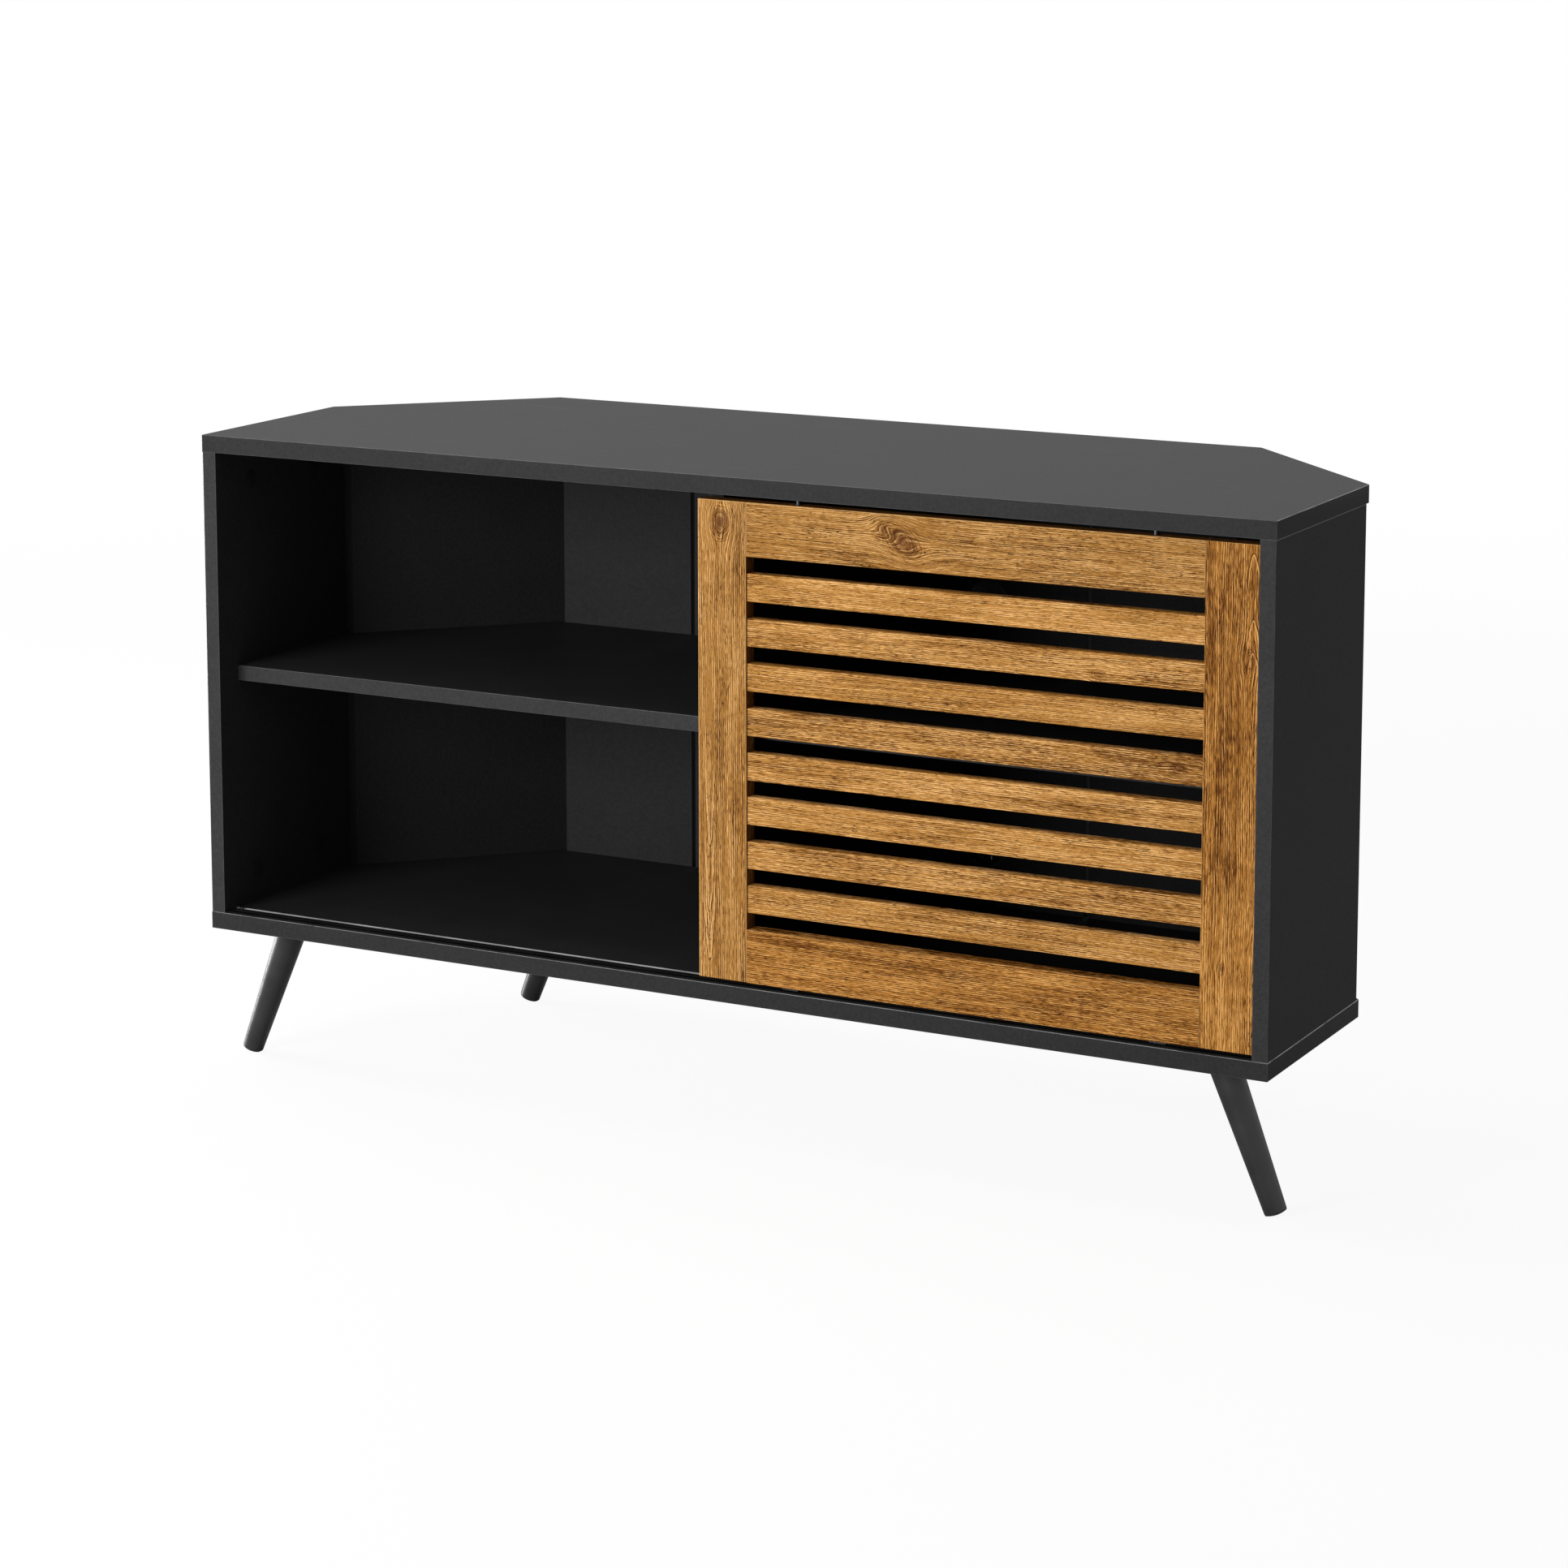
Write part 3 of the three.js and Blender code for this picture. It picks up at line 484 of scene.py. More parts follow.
# Knots of the door in millimetres: place along and across the grain, half length, half width,
# turn in degrees, and how dark
UPRIGHT_KNOTS = (
    (590.1, 16.3, 10.4, 7.2, 0, 1.0),
    (509.8, 534.7, 9.0, 5.0, 0, 0.6),
    (233.0, 514.0, 5.0, 2.6, 0, 0.5),
)
LEVEL_KNOTS = (
    (202.7, 586.0, 13.0, 8.4, -32, 0.9),
    (183.8, 595.5, 6.5, 5.0, -30, 0.6),
    (330.0, 574.0, 9.0, 3.6, 8, 0.2),
    (393.6, 483.0, 7.5, 4.6, -12, 0.36),
    (468.1, 403.5, 6.5, 4.2, 0, 0.4),
    (136.2, 456.0, 6.0, 3.8, 10, 0.24),
)
# Arches: tip along and across the grain, direction, curve and length
UPRIGHT_ARCHES = (
    (285.0, 4.6, 1.0, 2.4, 95.0),
    (223.0, 4.2, 1.0, 2.0, 80.0),
    (196.0, 4.8, 1.0, 1.6, 70.0),
    (177.0, 4.0, 1.0, 1.2, 70.0),
    (545.0, 538.0, -1.0, 0.55, 44.0),
    (517.0, 538.0, -1.0, 0.5, 30.0),
    (603.0, 538.0, -1.0, 0.6, 34.0),
)
# Grain of the stiles, and of the rails and slats: wander, spacing and dash
UPRIGHT_GRAIN, LEVEL_GRAIN = (8.0, 2.1, 0.034), (5.0, 1.8, 0.045)
# The second tint lightens the slats' wood evenly: painted light, to make the slats as bright as the
# frame.
WARM, SLAT_LIFT = (1.01, 0.9, 0.7), (1.2, 1.2, 1.2)
# Where the track's light lip starts behind the door, in millimetres; in front of it the track is
# painted dark as the door's shadow
TRACK_LIP = (-181.0, -180.4)


def laminate_finish(kit, colours, face, roughness=0.55, dust=0.02):
    """A board's face."""
    place = kit.object_place()
    skin = kit.group(laminate_group, Place=place, Color=face, Roughness=roughness)
    dusty = kit.group(dust_group, Place=place, Color=skin["Color"], Dust=colours.dust,
                      Amount=dust)
    kit.surface(dusty["Color"], skin["Roughness"], skin["Height"], 0.06, 0.5,
                Specular_IOR_Level=0.1)


def laminate_edge_finish(kit, colours, wear_and_highlight=None):
    """A board's eased edge, lighter and smoother than its face: wear and a painted highlight
    together.
    """
    place = kit.object_place()
    skin = kit.group(laminate_group, Place=place, Color=colours.laminate, Roughness=0.4)
    edge = kit.group(edge_wear_and_highlight_group, Place=place, Color=skin["Color"],
                     Worn=wear_and_highlight or colours.laminate_edge, Amount=0.85)
    kit.surface(edge["Color"], skin["Roughness"], skin["Height"], 0.03, 0.4,
                Specular_IOR_Level=0.3)


def wood_finish(kit, colours, upright, painted_light=None, tint=None):
    """The door's wood, with its grain upright in the stiles and level in the rails and slats.

    The fourth argument is a (share, colour) pair laid over the wood of an edge, a light colour as a
    painted highlight and a dark one as painted shade, and a tint multiplies it."""
    x, y, z = kit.split(kit.object_place())
    grain = kit.vector(z, x, y) if upright else kit.vector(x, z, y)
    board = kit.add("ShaderNodeAttribute", output="Fac", attribute_type="GEOMETRY",
                    attribute_name="board")
    push = 0.0
    marks = dict.fromkeys(("Core", "Rim", "Rings", "Lines", "Glints"), 0.0)

    def deepen(found, strength=1.0):
        """Adds what a knot or an arch marks, and keeps the strongest mark of each kind."""
        for name in marks:
            if name in found:
                mark = found[name] if strength == 1.0 else found[name] * strength
                marks[name] = kit.math("MAXIMUM", marks[name], mark)

    for along, across, half_length, half_width, turn, strength in (
            UPRIGHT_KNOTS if upright else LEVEL_KNOTS):
        knot = kit.group(knot_group, Grain=grain, Along=along, Across=across, Length=half_length,
                         Width=half_width, Turn=math.radians(turn), Reach=4.2)
        push = push + knot["Push"] * min(1.0, strength * 1.3)
        deepen(knot, strength)
    for along, across, direction, curve, reach in UPRIGHT_ARCHES if upright else ():
        deepen(kit.group(arch_group, Grain=grain, Along=along, Across=across,
                         Direction=direction, Curve=curve, Length=reach))
    tone = marks["Rings"] * -0.4
    if upright:
        tone = tone + marks["Lines"] * -0.3 + marks["Glints"] * 0.75
    wander, spacing, dash = UPRIGHT_GRAIN if upright else LEVEL_GRAIN
    wood = kit.group(wood_group, Grain=grain, Board=board, Push=push, Tone=tone, Wander=wander,
                     Spacing=spacing, Dash=dash, Middle=colours.wood, Light=colours.wood_light,
                     Dark=colours.wood_dark, Pore=colours.wood_pore)
    toned = kit.mix(marks["Core"], wood["Color"], colours.knot)
    toned = kit.mix(marks["Rim"] * 0.65, toned, colours.wood_dark)
    # An edge's painted highlight (light colour) and painted shade (dark colour) are laid over the
    # wood here.
    if painted_light:
        toned = kit.mix(painted_light[0], toned, painted_light[1])
    if tint:
        toned = kit.tinted(toned, *tint)
    kit.surface(toned, wood["Roughness"], wood["Height"], 0.35, 0.6, Specular_IOR_Level=0.06)


def powder_coat_finish(kit, colours):
    """Powder coat on steel, with a soft gloss."""
    skin = kit.group(coat_group, Place=kit.object_place(), Color=colours.powder_coat,
                     Roughness=0.36)
    kit.surface(skin["Color"], skin["Roughness"], skin["Height"], 0.05, 0.5,
                Specular_IOR_Level=0.5)


def plastic_finish(kit, colours, face, roughness, specular=0.5):
    """Moulded plastic with a little dust on it."""
    place = kit.object_place()
    skin = kit.group(coat_group, Place=place, Color=face, Roughness=roughness)
    dusty = kit.group(dust_group, Place=place, Color=skin["Color"], Dust=colours.dust,
                      Amount=0.05)
    kit.surface(dusty["Color"], skin["Roughness"], skin["Height"], 0.03, 0.5,
                Specular_IOR_Level=specular)


def track_finish(kit, colours):
    """The bottom track: black under the door as a painted shadow of the door, with a light lip
    behind it.
    """
    behind = kit.rise(kit.split(kit.object_place())[1], *TRACK_LIP)
    plastic_finish(kit, colours, kit.mix(behind, colours.flange, colours.track), 0.5, 0.1)


def steel_finish(kit, colours, steel=None):
    """Zinc plate over drawn steel: blotches, fine scratches and a dull bloom."""
    place = kit.object_place()
    skin = kit.group(coat_group, Place=place, Color=steel or colours.steel, Roughness=0.34)
    scratches = kit.rise(kit.noise(place, stretch=(0.4, 3.0, 3.0)), 0.55, 0.75)
    kit.surface(skin["Color"], skin["Roughness"] + scratches * 0.12, skin["Height"], 0.02, 0.4,
                Metallic=1.0)


FINISHES = {
    "Black laminate": lambda kit, c: laminate_finish(kit, c, c.laminate),
    "Black laminate inside": lambda kit, c: laminate_finish(kit, c, c.interior, 0.56, 0.03),
    "Black laminate edge": laminate_edge_finish,
    "Black edge band": lambda kit, c: laminate_finish(kit, c, c.edge_band),
    "Worn laminate edge": lambda kit, c: laminate_edge_finish(kit, c, c.worn_edge),
    "Rubbed laminate edge": lambda kit, c: laminate_edge_finish(kit, c, c.rubbed_edge),
    "Bright laminate edge": lambda kit, c: laminate_edge_finish(kit, c, c.bright_edge),
    "Wood with upright grain": lambda kit, c: wood_finish(kit, c, True),
    "Wood with level grain": lambda kit, c: wood_finish(kit, c, False),
    "Warm wood with upright grain": lambda kit, c: wood_finish(kit, c, True, tint=WARM),
    "Warm wood with level grain": lambda kit, c: wood_finish(kit, c, False, tint=WARM),
    "Pale wood with level grain": lambda kit, c: wood_finish(kit, c, False, tint=SLAT_LIFT),
    # Door edges: a painted highlight on the eased edges, painted shade on faces that light barely
    # reaches.
    "Sanded wood edge": lambda kit, c: wood_finish(kit, c, True, (0.6, c.wood_light)),
    "Stained wood edge": lambda kit, c: wood_finish(kit, c, True, (0.75, c.wood_dark)),
    "Black powder coat": powder_coat_finish,
    "Black plastic": lambda kit, c: plastic_finish(kit, c, c.black_plastic, 0.42),
    "Matt black plastic": lambda kit, c: plastic_finish(kit, c, c.flange, 0.8, 0.0),
    "Track with a light lip": track_finish,
    "Dull steel": lambda kit, c: steel_finish(kit, c, c.dull_steel),
    "Smoke grey nylon": lambda kit, c: plastic_finish(kit, c, c.nylon, 0.4),
    "Zinc-plated steel": steel_finish,
}


def empty_material(name):
    made = bpy.data.materials.new(name)
    made.use_nodes = True
    made.node_tree.nodes.clear()
    return made, NodeKit(made.node_tree)


def finish(name):
    """The material called name, built when it is first asked for."""
    ready = bpy.data.materials.get(name)
    if ready:
        return ready
    made, kit = empty_material(name)
    FINISHES[name](kit, bpy.context.scene.cabinet_colours)
    return made


# ---------------------------------------------------------------- meshes


WELD = 0.002 * MM
SHARPEST = math.radians(40)


def body_of(node):
    """The body that a CAD node belongs to."""
    return next(body for body, members in frame["record"]["behaviour"]["bodies"].items()
                if node in members)


def measured(node):
    """A CAD node's middle and half its size."""
    low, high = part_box(node)
    return (low + high) / 2, (high - low) / 2


def copy_of(node):
    """A CAD node's shape with its loose triangles merged into whole faces."""
    mesh = frame["nodes"][node].data.copy()
    if mesh.has_custom_normals:
        mesh.attributes.remove(mesh.attributes["custom_normal"])
    shape = bmesh.new()
    shape.from_mesh(mesh)
    bpy.data.meshes.remove(mesh)
    bmesh.ops.remove_doubles(shape, verts=shape.verts, dist=WELD)
    bmesh.ops.dissolve_limit(shape, angle_limit=math.radians(0.3), verts=shape.verts,
                             edges=shape.edges)
    return shape


def ease_edges(shape, width, least):
    """Rounds the long outward edges. The new faces take the second material."""
    sharp = [e for e in shape.edges
             if len(e.link_faces) == 2 and e.is_convex and e.calc_length() > least
             and e.calc_face_angle() > SHARPEST]
    bmesh.ops.bevel(shape, geom=sharp, offset=width, offset_type="OFFSET", segments=2,
                    profile=0.5, affect="EDGES", clamp_overlap=True, material=1)


def turned(profile, place=None, steps=None, shape=None):
    """What a profile of (radius, height) makes round Z, as a shape and its rings of vertices.

    Radius 0 is a pole. A profile that doesn't start and end on the axis is a ring, joined from
    its last point to its first."""
    shape = shape or bmesh.new()
    steps = steps or bpy.context.scene.cabinet_sizes.round_steps
    place = place or Matrix.Identity(4)
    turns = [2 * math.pi * i / steps for i in range(steps)]
    rings = [[shape.verts.new(place @ Vector((radius * math.cos(a), radius * math.sin(a), height)))
              for a in (turns if radius else turns[:1])] for radius, height in profile]
    closed = profile[0][0] > 0 and profile[-1][0] > 0
    for low, high in list(zip(rings, rings[1:])) + ([(rings[-1], rings[0])] if closed else []):
        for i in range(steps):
            corners = [low[i % len(low)], low[(i + 1) % len(low)], high[(i + 1) % len(high)],
                       high[i % len(high)]]
            shape.faces.new(list(dict.fromkeys(corners))).smooth = True
    return shape, rings


def rod(low, high, radius, ease, bore=0.0):
    """The profile of a bar from low to high with eased ends, solid or with a bore."""
    return [(bore, low), (radius - ease, low), (radius, low + ease), (radius, high - ease),
            (radius - ease, high), (bore, high)]


def object_of(name, shape, smooth_angle=30):
    """A new object of a shape, with its faces outwards."""
    bmesh.ops.recalc_face_normals(shape, faces=shape.faces)
    mesh = bpy.data.meshes.new(name)
    shape.to_mesh(mesh)
    shape.free()
    mesh.set_sharp_from_angle(angle=math.radians(smooth_angle))
    return bpy.data.objects.new(name, mesh)


def piece(node, shape, *materials, board=None, smooth_angle=30):
    """Makes the finished object of a CAD node, and hands it to the frame."""
    made = object_of(f"{node}_finished", shape, smooth_angle)
    if board is not None:
        made.data.attributes.new("board", "FLOAT", "POINT").data.foreach_set(
            "value", [board] * len(made.data.vertices))
    bpy.context.scene.collection.objects.link(made)
    for material in materials:
        made.data.materials.append(finish(material))
    hand_over(made, node)
    return made


def hand_over(made, *nodes):
    """Tells the frame what a piece rides on and what it replaces."""
    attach(made, body_of(nodes[0]))
    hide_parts(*nodes)


def turned_piece(node, profile, place, material):
    """Makes the finished object of a CAD node that is round about one axis."""
    shape, _ = turned(profile, place)
    piece(node, shape, material)


def eased_board(node, width, material, edge="Black laminate edge", board=None, least=7 * MM):
    """A CAD node's own shape with its long edges eased."""
    shape = copy_of(node)
    ease_edges(shape, width, least)
    return piece(node, shape, material, edge, board=board, smooth_angle=16)


def refinish(made, material, wanted):
    """Gives the wanted faces of a piece a finish of their own."""
    made.data.materials.append(finish(material))
    for face in made.data.polygons:
        if wanted(face):
            face.material_index = len(made.data.materials) - 1


def facing(x=0.0, y=0.0, z=0.0):
    """Picks the flat faces that look one way."""
    return lambda face: face.normal.dot(Vector((x, y, z))) > 0.99


def upper_edge(wanted):
    """Picks the faces of the eased edge round a board's top that look along Y as wanted."""
    return lambda face: 0.3 < face.normal.z < 0.97 and wanted(face.normal.y)


def close_with_cross(shape, rim, height, arm, width, depth):
    """Closes a ring of vertices at height with a flat face that has a cross recess in it."""
    half, narrowing = width / 2, 0.8
    outline = []
    for x, y in ((1, 1), (-1, 1), (-1, -1), (1, -1)):
        corner = [(x * arm, y * half), (x * half, y * half), (x * half, y * arm)]
        outline += corner if x * y > 0 else corner[::-1]
    top = [shape.verts.new((x, y, height)) for x, y in outline]
    floor = [shape.verts.new((x * narrowing, y * narrowing, height - depth)) for x, y in outline]

    def loop(verts):
        return [shape.edges.get((a, b)) or shape.edges.new((a, b))
                for a, b in zip(verts, verts[1:] + verts[:1])]
    bmesh.ops.triangle_fill(shape, use_beauty=True, edges=loop(rim) + loop(top))
    for i, (a, b) in enumerate(zip(top, top[1:] + top[:1])):
        shape.faces.new((a, b, floor[(i + 1) % len(floor)], floor[i]))
    shape.faces.new(floor[1::3])
    for start in range(0, len(floor), 3):
        shape.faces.new([floor[start + k] for k in (-2, -1, 0, 1)])


# ---------------------------------------------------------------- Geometry Nodes


def geometry_group(name, **kinds):
    """Makes a function that gives a Geometry Nodes tree with named inputs, built once.

    The function under it gets a kit and the inputs, and gives a geometry, which is realized here
    and given its material."""
    def named(build):
        def tree():
            ready = bpy.data.node_groups.get(name)
            if ready:
                return ready
            made = bpy.data.node_groups.new(name, "GeometryNodeTree")
            add_sockets(made, "INPUT", {"Geometry": "Geometry", "Material": "Material"} | kinds)
            add_sockets(made, "OUTPUT", {"Geometry": "Geometry"})
            kit = NodeKit(made)
            given = kit.values("NodeGroupInput")
            whole = kit.add("GeometryNodeRealizeInstances", {"Geometry": build(kit, given)})
            kit.node("NodeGroupOutput", {"Geometry": kit.add(
                "GeometryNodeSetMaterial", {"Geometry": whole, "Material": given["Material"]})})
            return made
        return tree
    return named


def grown(name, tree, start, **inputs):
    """A plain mesh object of what a tree makes from a start mesh."""
    made = bpy.data.objects.new(name, start)
    bpy.context.scene.collection.objects.link(made)
    modifier = made.modifiers.new(tree.name, "NODES")
    modifier.node_group = tree
    for item in tree.interface.items_tree:
        if item.in_out == "INPUT" and item.name in inputs:
            modifier[item.identifier] = inputs[item.name]
    view = bpy.context.evaluated_depsgraph_get()
    made_mesh = bpy.data.meshes.new_from_object(made.evaluated_get(view), depsgraph=view)
    made.modifiers.clear()
    made.data = made_mesh
    made_mesh.name = name
    return made


@geometry_group("Slat stack", Start="Vector", Count="Int", Length="Float", Height="Float",
                Thickness="Float", Corner="Float", Pitch="Float")
def slat_tree(kit, given):
    """A stack of like slats: one rounded section, swept along X and repeated downwards."""
    section = kit.add("GeometryNodeCurvePrimitiveQuadrilateral",
                      {"Width": given["Thickness"], "Height": given["Height"]})
    rounded = kit.add("GeometryNodeFilletCurve",
                      {"Curve": section, "Radius": given["Corner"], "Count": 3}, mode="POLY")
    line = kit.add("GeometryNodeCurvePrimitiveLine", {"End": kit.vector(given["Length"])})
    upright = kit.add("GeometryNodeSetCurveNormal", {"Curve": line}, mode="Z_UP")
    slat = kit.add("GeometryNodeCurveToMesh",
                   {"Curve": upright, "Profile Curve": rounded, "Fill Caps": True})
    stack = kit.add("GeometryNodeMeshLine",
                    {"Count": given["Count"], "Start Location": given["Start"],
                     "Offset": kit.vector(z=given["Pitch"] * -1.0)})
    repeated = kit.add("GeometryNodeInstanceOnPoints", {"Points": stack, "Instance": slat})
    return kit.add("GeometryNodeStoreNamedAttribute",
                   {"Geometry": repeated, "Name": "board",
                    "Value": kit.add("GeometryNodeInputIndex")},
                   data_type="FLOAT", domain="INSTANCE")


@geometry_group("Fasteners on points", Fastener="Object", Scale="Vector")
def scatter_tree(kit, given):
    """One fastener, repeated on the points of a mesh that hold its turn."""
    fastener = kit.add("GeometryNodeObjectInfo", {"Object": given["Fastener"]}, "Geometry",
                       transform_space="ORIGINAL")
    turn = kit.add("GeometryNodeInputNamedAttribute", {"Name": "turn"}, "Attribute",
                   data_type="FLOAT_VECTOR")
    return kit.add("GeometryNodeInstanceOnPoints",
                   {"Points": given["Geometry"], "Instance": fastener, "Scale": given["Scale"],
                    "Rotation": kit.add("FunctionNodeEulerToRotation", {"Euler": turn})})


@geometry_group("Cable brushes", Radius="Float", Bristle="Float", Count="Int")
def brush_tree(kit, given):
    """A round brush on each point: an upper and a lower row of bristles that meet."""
    radius, count = given["Radius"], given["Count"]
    pitch = radius * 2.0 / count
    row = kit.add("GeometryNodeMeshLine",
                  {"Count": count, "Start Location": kit.vector(pitch * 0.5 + radius * -1.0),
                   "Offset": kit.vector(pitch)})
    lean, sway, share = kit.split(kit.add(
        "FunctionNodeRandomValue", {0: (-0.05, -0.05, 1.0), 1: (0.05, 0.05, 1.09), "Seed": 7},
        data_type="FLOAT_VECTOR"))
    across = kit.split(kit.add("GeometryNodeInputPosition"))[0]
    reach = kit.math("SQRT", radius * radius - across * across)
    rim = kit.add("GeometryNodeSetPosition", {"Geometry": row, "Offset": kit.vector(z=reach)})
    bristle = kit.add("GeometryNodeMeshCylinder",
                      {"Vertices": 3, "Radius": given["Bristle"], "Depth": 1.0})
    bristle = kit.add("GeometryNodeTransform", {"Geometry": bristle,
                                                "Translation": (0, 0, -0.5)})
    turn = kit.add("FunctionNodeEulerToRotation", {"Euler": kit.vector(lean, sway)})
    upper = kit.add("GeometryNodeInstanceOnPoints",
                    {"Points": rim, "Instance": bristle, "Rotation": turn,
                     "Scale": kit.vector(1.0, 1.0, reach * share)})
    lower = kit.add("GeometryNodeTransform", {"Geometry": upper, "Rotation": (0, math.pi, 0)})
    joined = kit.tree.nodes.new("GeometryNodeJoinGeometry")
    kit.feed(joined.inputs[0], upper)
    kit.feed(joined.inputs[0], lower)
    return kit.add("GeometryNodeInstanceOnPoints",
                   {"Points": given["Geometry"], "Instance": Value(kit, joined.outputs[0])})


def points_mesh(name, places):
    """A mesh of loose points with a turn at each, from (place, Euler angles) pairs."""
    mesh = bpy.data.meshes.new(name)
    mesh.from_pydata([tuple(place) for place, _ in places], [], [])
    mesh.attributes.new("turn", "FLOAT_VECTOR", "POINT").data.foreach_set(
        "vector", [value for _, turn in places for value in turn])
    return mesh


def fit_to_cabinet(made):
    """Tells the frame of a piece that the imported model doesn't hold."""
    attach(made, "cabinet")


def scattered(name, shape, places, material):
    """A set of like fasteners as one piece on the cabinet."""
    pattern = object_of(f"{name}_pattern", shape)
    made = grown(name, scatter_tree(), points_mesh(f"{name}_places", places),
                 Material=finish(material), Fastener=pattern, Scale=(1.0, 1.0, 1.0))
    bpy.data.objects.remove(pattern)
    fit_to_cabinet(made)


# ---------------------------------------------------------------- operators


class CABINET_OT_boards(bpy.types.Operator):
    """Make the top board, the bottom board and the two side panels"""

    bl_idname = "cabinet.boards"
    bl_label = "Outer boards"

    def execute(self, context):
        ease = context.scene.cabinet_sizes.board_ease
        for side in SIDES:
            made = eased_board(f"side_panel_{side}", ease, "Black laminate")
            # The front edge takes the lighter laminate, painted light.
            refinish(made, "Black edge band", facing(y=-1.0))
        made = eased_board("top_board", ease, "Black laminate")
        # The top board's upper side edges take a pale painted highlight.
        refinish(made, "Rubbed laminate edge", upper_edge(lambda y: abs(y) < 0.2))
        made = eased_board("bottom_board", ease, "Black laminate")
        # The bottom board's top face lies inside the bays and takes the darker laminate, painted
        # shade.
        refinish(made, "Black laminate inside", facing(z=1.0))
        # The bottom board's upper front edge takes a light grey painted highlight.
        refinish(made, "Worn laminate edge", upper_edge(lambda y: y < -0.2))
        # The bottom board's upper side edges take a near white painted highlight.
        refinish(made, "Bright laminate edge", upper_edge(lambda y: abs(y) < 0.2))
        return {"FINISHED"}


class CABINET_OT_inner_boards(bpy.types.Operator):
    """Make the back panels, the divider and the shelves"""

    bl_idname = "cabinet.inner_boards"
    bl_label = "Inner boards"

    def execute(self, context):
        ease = context.scene.cabinet_sizes.board_ease
        # The inner boards' faces take the darker laminate, painted shade.
        for node in ("back_panel_slanted_left", "back_panel_slanted_right", "back_panel_left",
                     "back_panel_middle", "back_panel_right", "centre_divider"):
            eased_board(node, ease, "Black laminate inside", "Black laminate")
        for side in SIDES:
            made = eased_board(f"shelf_{side}", ease, "Black laminate inside")
            # The front edge takes the lighter laminate, painted light.
            refinish(made, "Black edge band", facing(y=-1.0))
        return {"FINISHED"}


class CABINET_OT_door_frame(bpy.types.Operator):
    """Make the door's stiles and rails, with their grain along each"""

    bl_idname = "cabinet.door_frame"
    bl_label = "Door frame"

    def execute(self, context):
        ease = context.scene.cabinet_sizes.door_ease
        # The number of a board picks its cut of the wood and how dark it is.
        for node, board, grain in (
                ("door_stile_left", 10.0, "Wood with upright grain"),
                ("door_stile_right", 11.0, "Warm wood with upright grain"),
                ("door_rail_top", 13.0, "Wood with level grain"),
                ("door_rail_bottom", 16.0, "Warm wood with level grain")):
            # The eased edges take the wood with a painted highlight.
            made = eased_board(node, ease, grain, "Sanded wood edge", board=board)
            # Painted shade: the stiles' inner sides, the top faces of all but the bottom rail, and
            # the faces that look down take darkened wood.
            if "stile" in node:
                inwards = -1.0 if node.endswith("right") else 1.0
                refinish(made, "Stained wood edge", facing(x=inwards))
            if node != "door_rail_bottom":
                refinish(made, "Stained wood edge", facing(z=1.0))
            refinish(made, "Stained wood edge", lambda face: face.normal.z < -0.2)
        return {"FINISHED"}


class CABINET_OT_door_slats(bpy.types.Operator):
    """Make the door's eight slats from one rounded section"""

    bl_idname = "cabinet.door_slats"
    bl_label = "Door slats"

    def execute(self, context):
        low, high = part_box(SLATS[0])
        below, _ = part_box(SLATS[1])
        middle = (low + high) / 2
        # The slats take their wood lightened as painted light.
        made = grown("door_slats_finished", slat_tree(), bpy.data.meshes.new("door_slats_start"),
                     Material=finish("Pale wood with level grain"),
                     Start=(low.x, middle.y, middle.z), Count=len(SLATS), Length=high.x - low.x,
                     Height=high.z - low.z, Thickness=high.y - low.y,
                     Corner=context.scene.cabinet_sizes.slat_corner, Pitch=low.z - below.z)
        shape = bmesh.new()
        shape.from_mesh(made.data)
        bmesh.ops.remove_doubles(shape, verts=shape.verts, dist=WELD)
        bmesh.ops.recalc_face_normals(shape, faces=shape.faces)
        for face in shape.faces:
            face.smooth = True
        shape.to_mesh(made.data)
        shape.free()
        made.data.set_sharp_from_angle(angle=math.radians(16))
        hand_over(made, *SLATS)
        return {"FINISHED"}


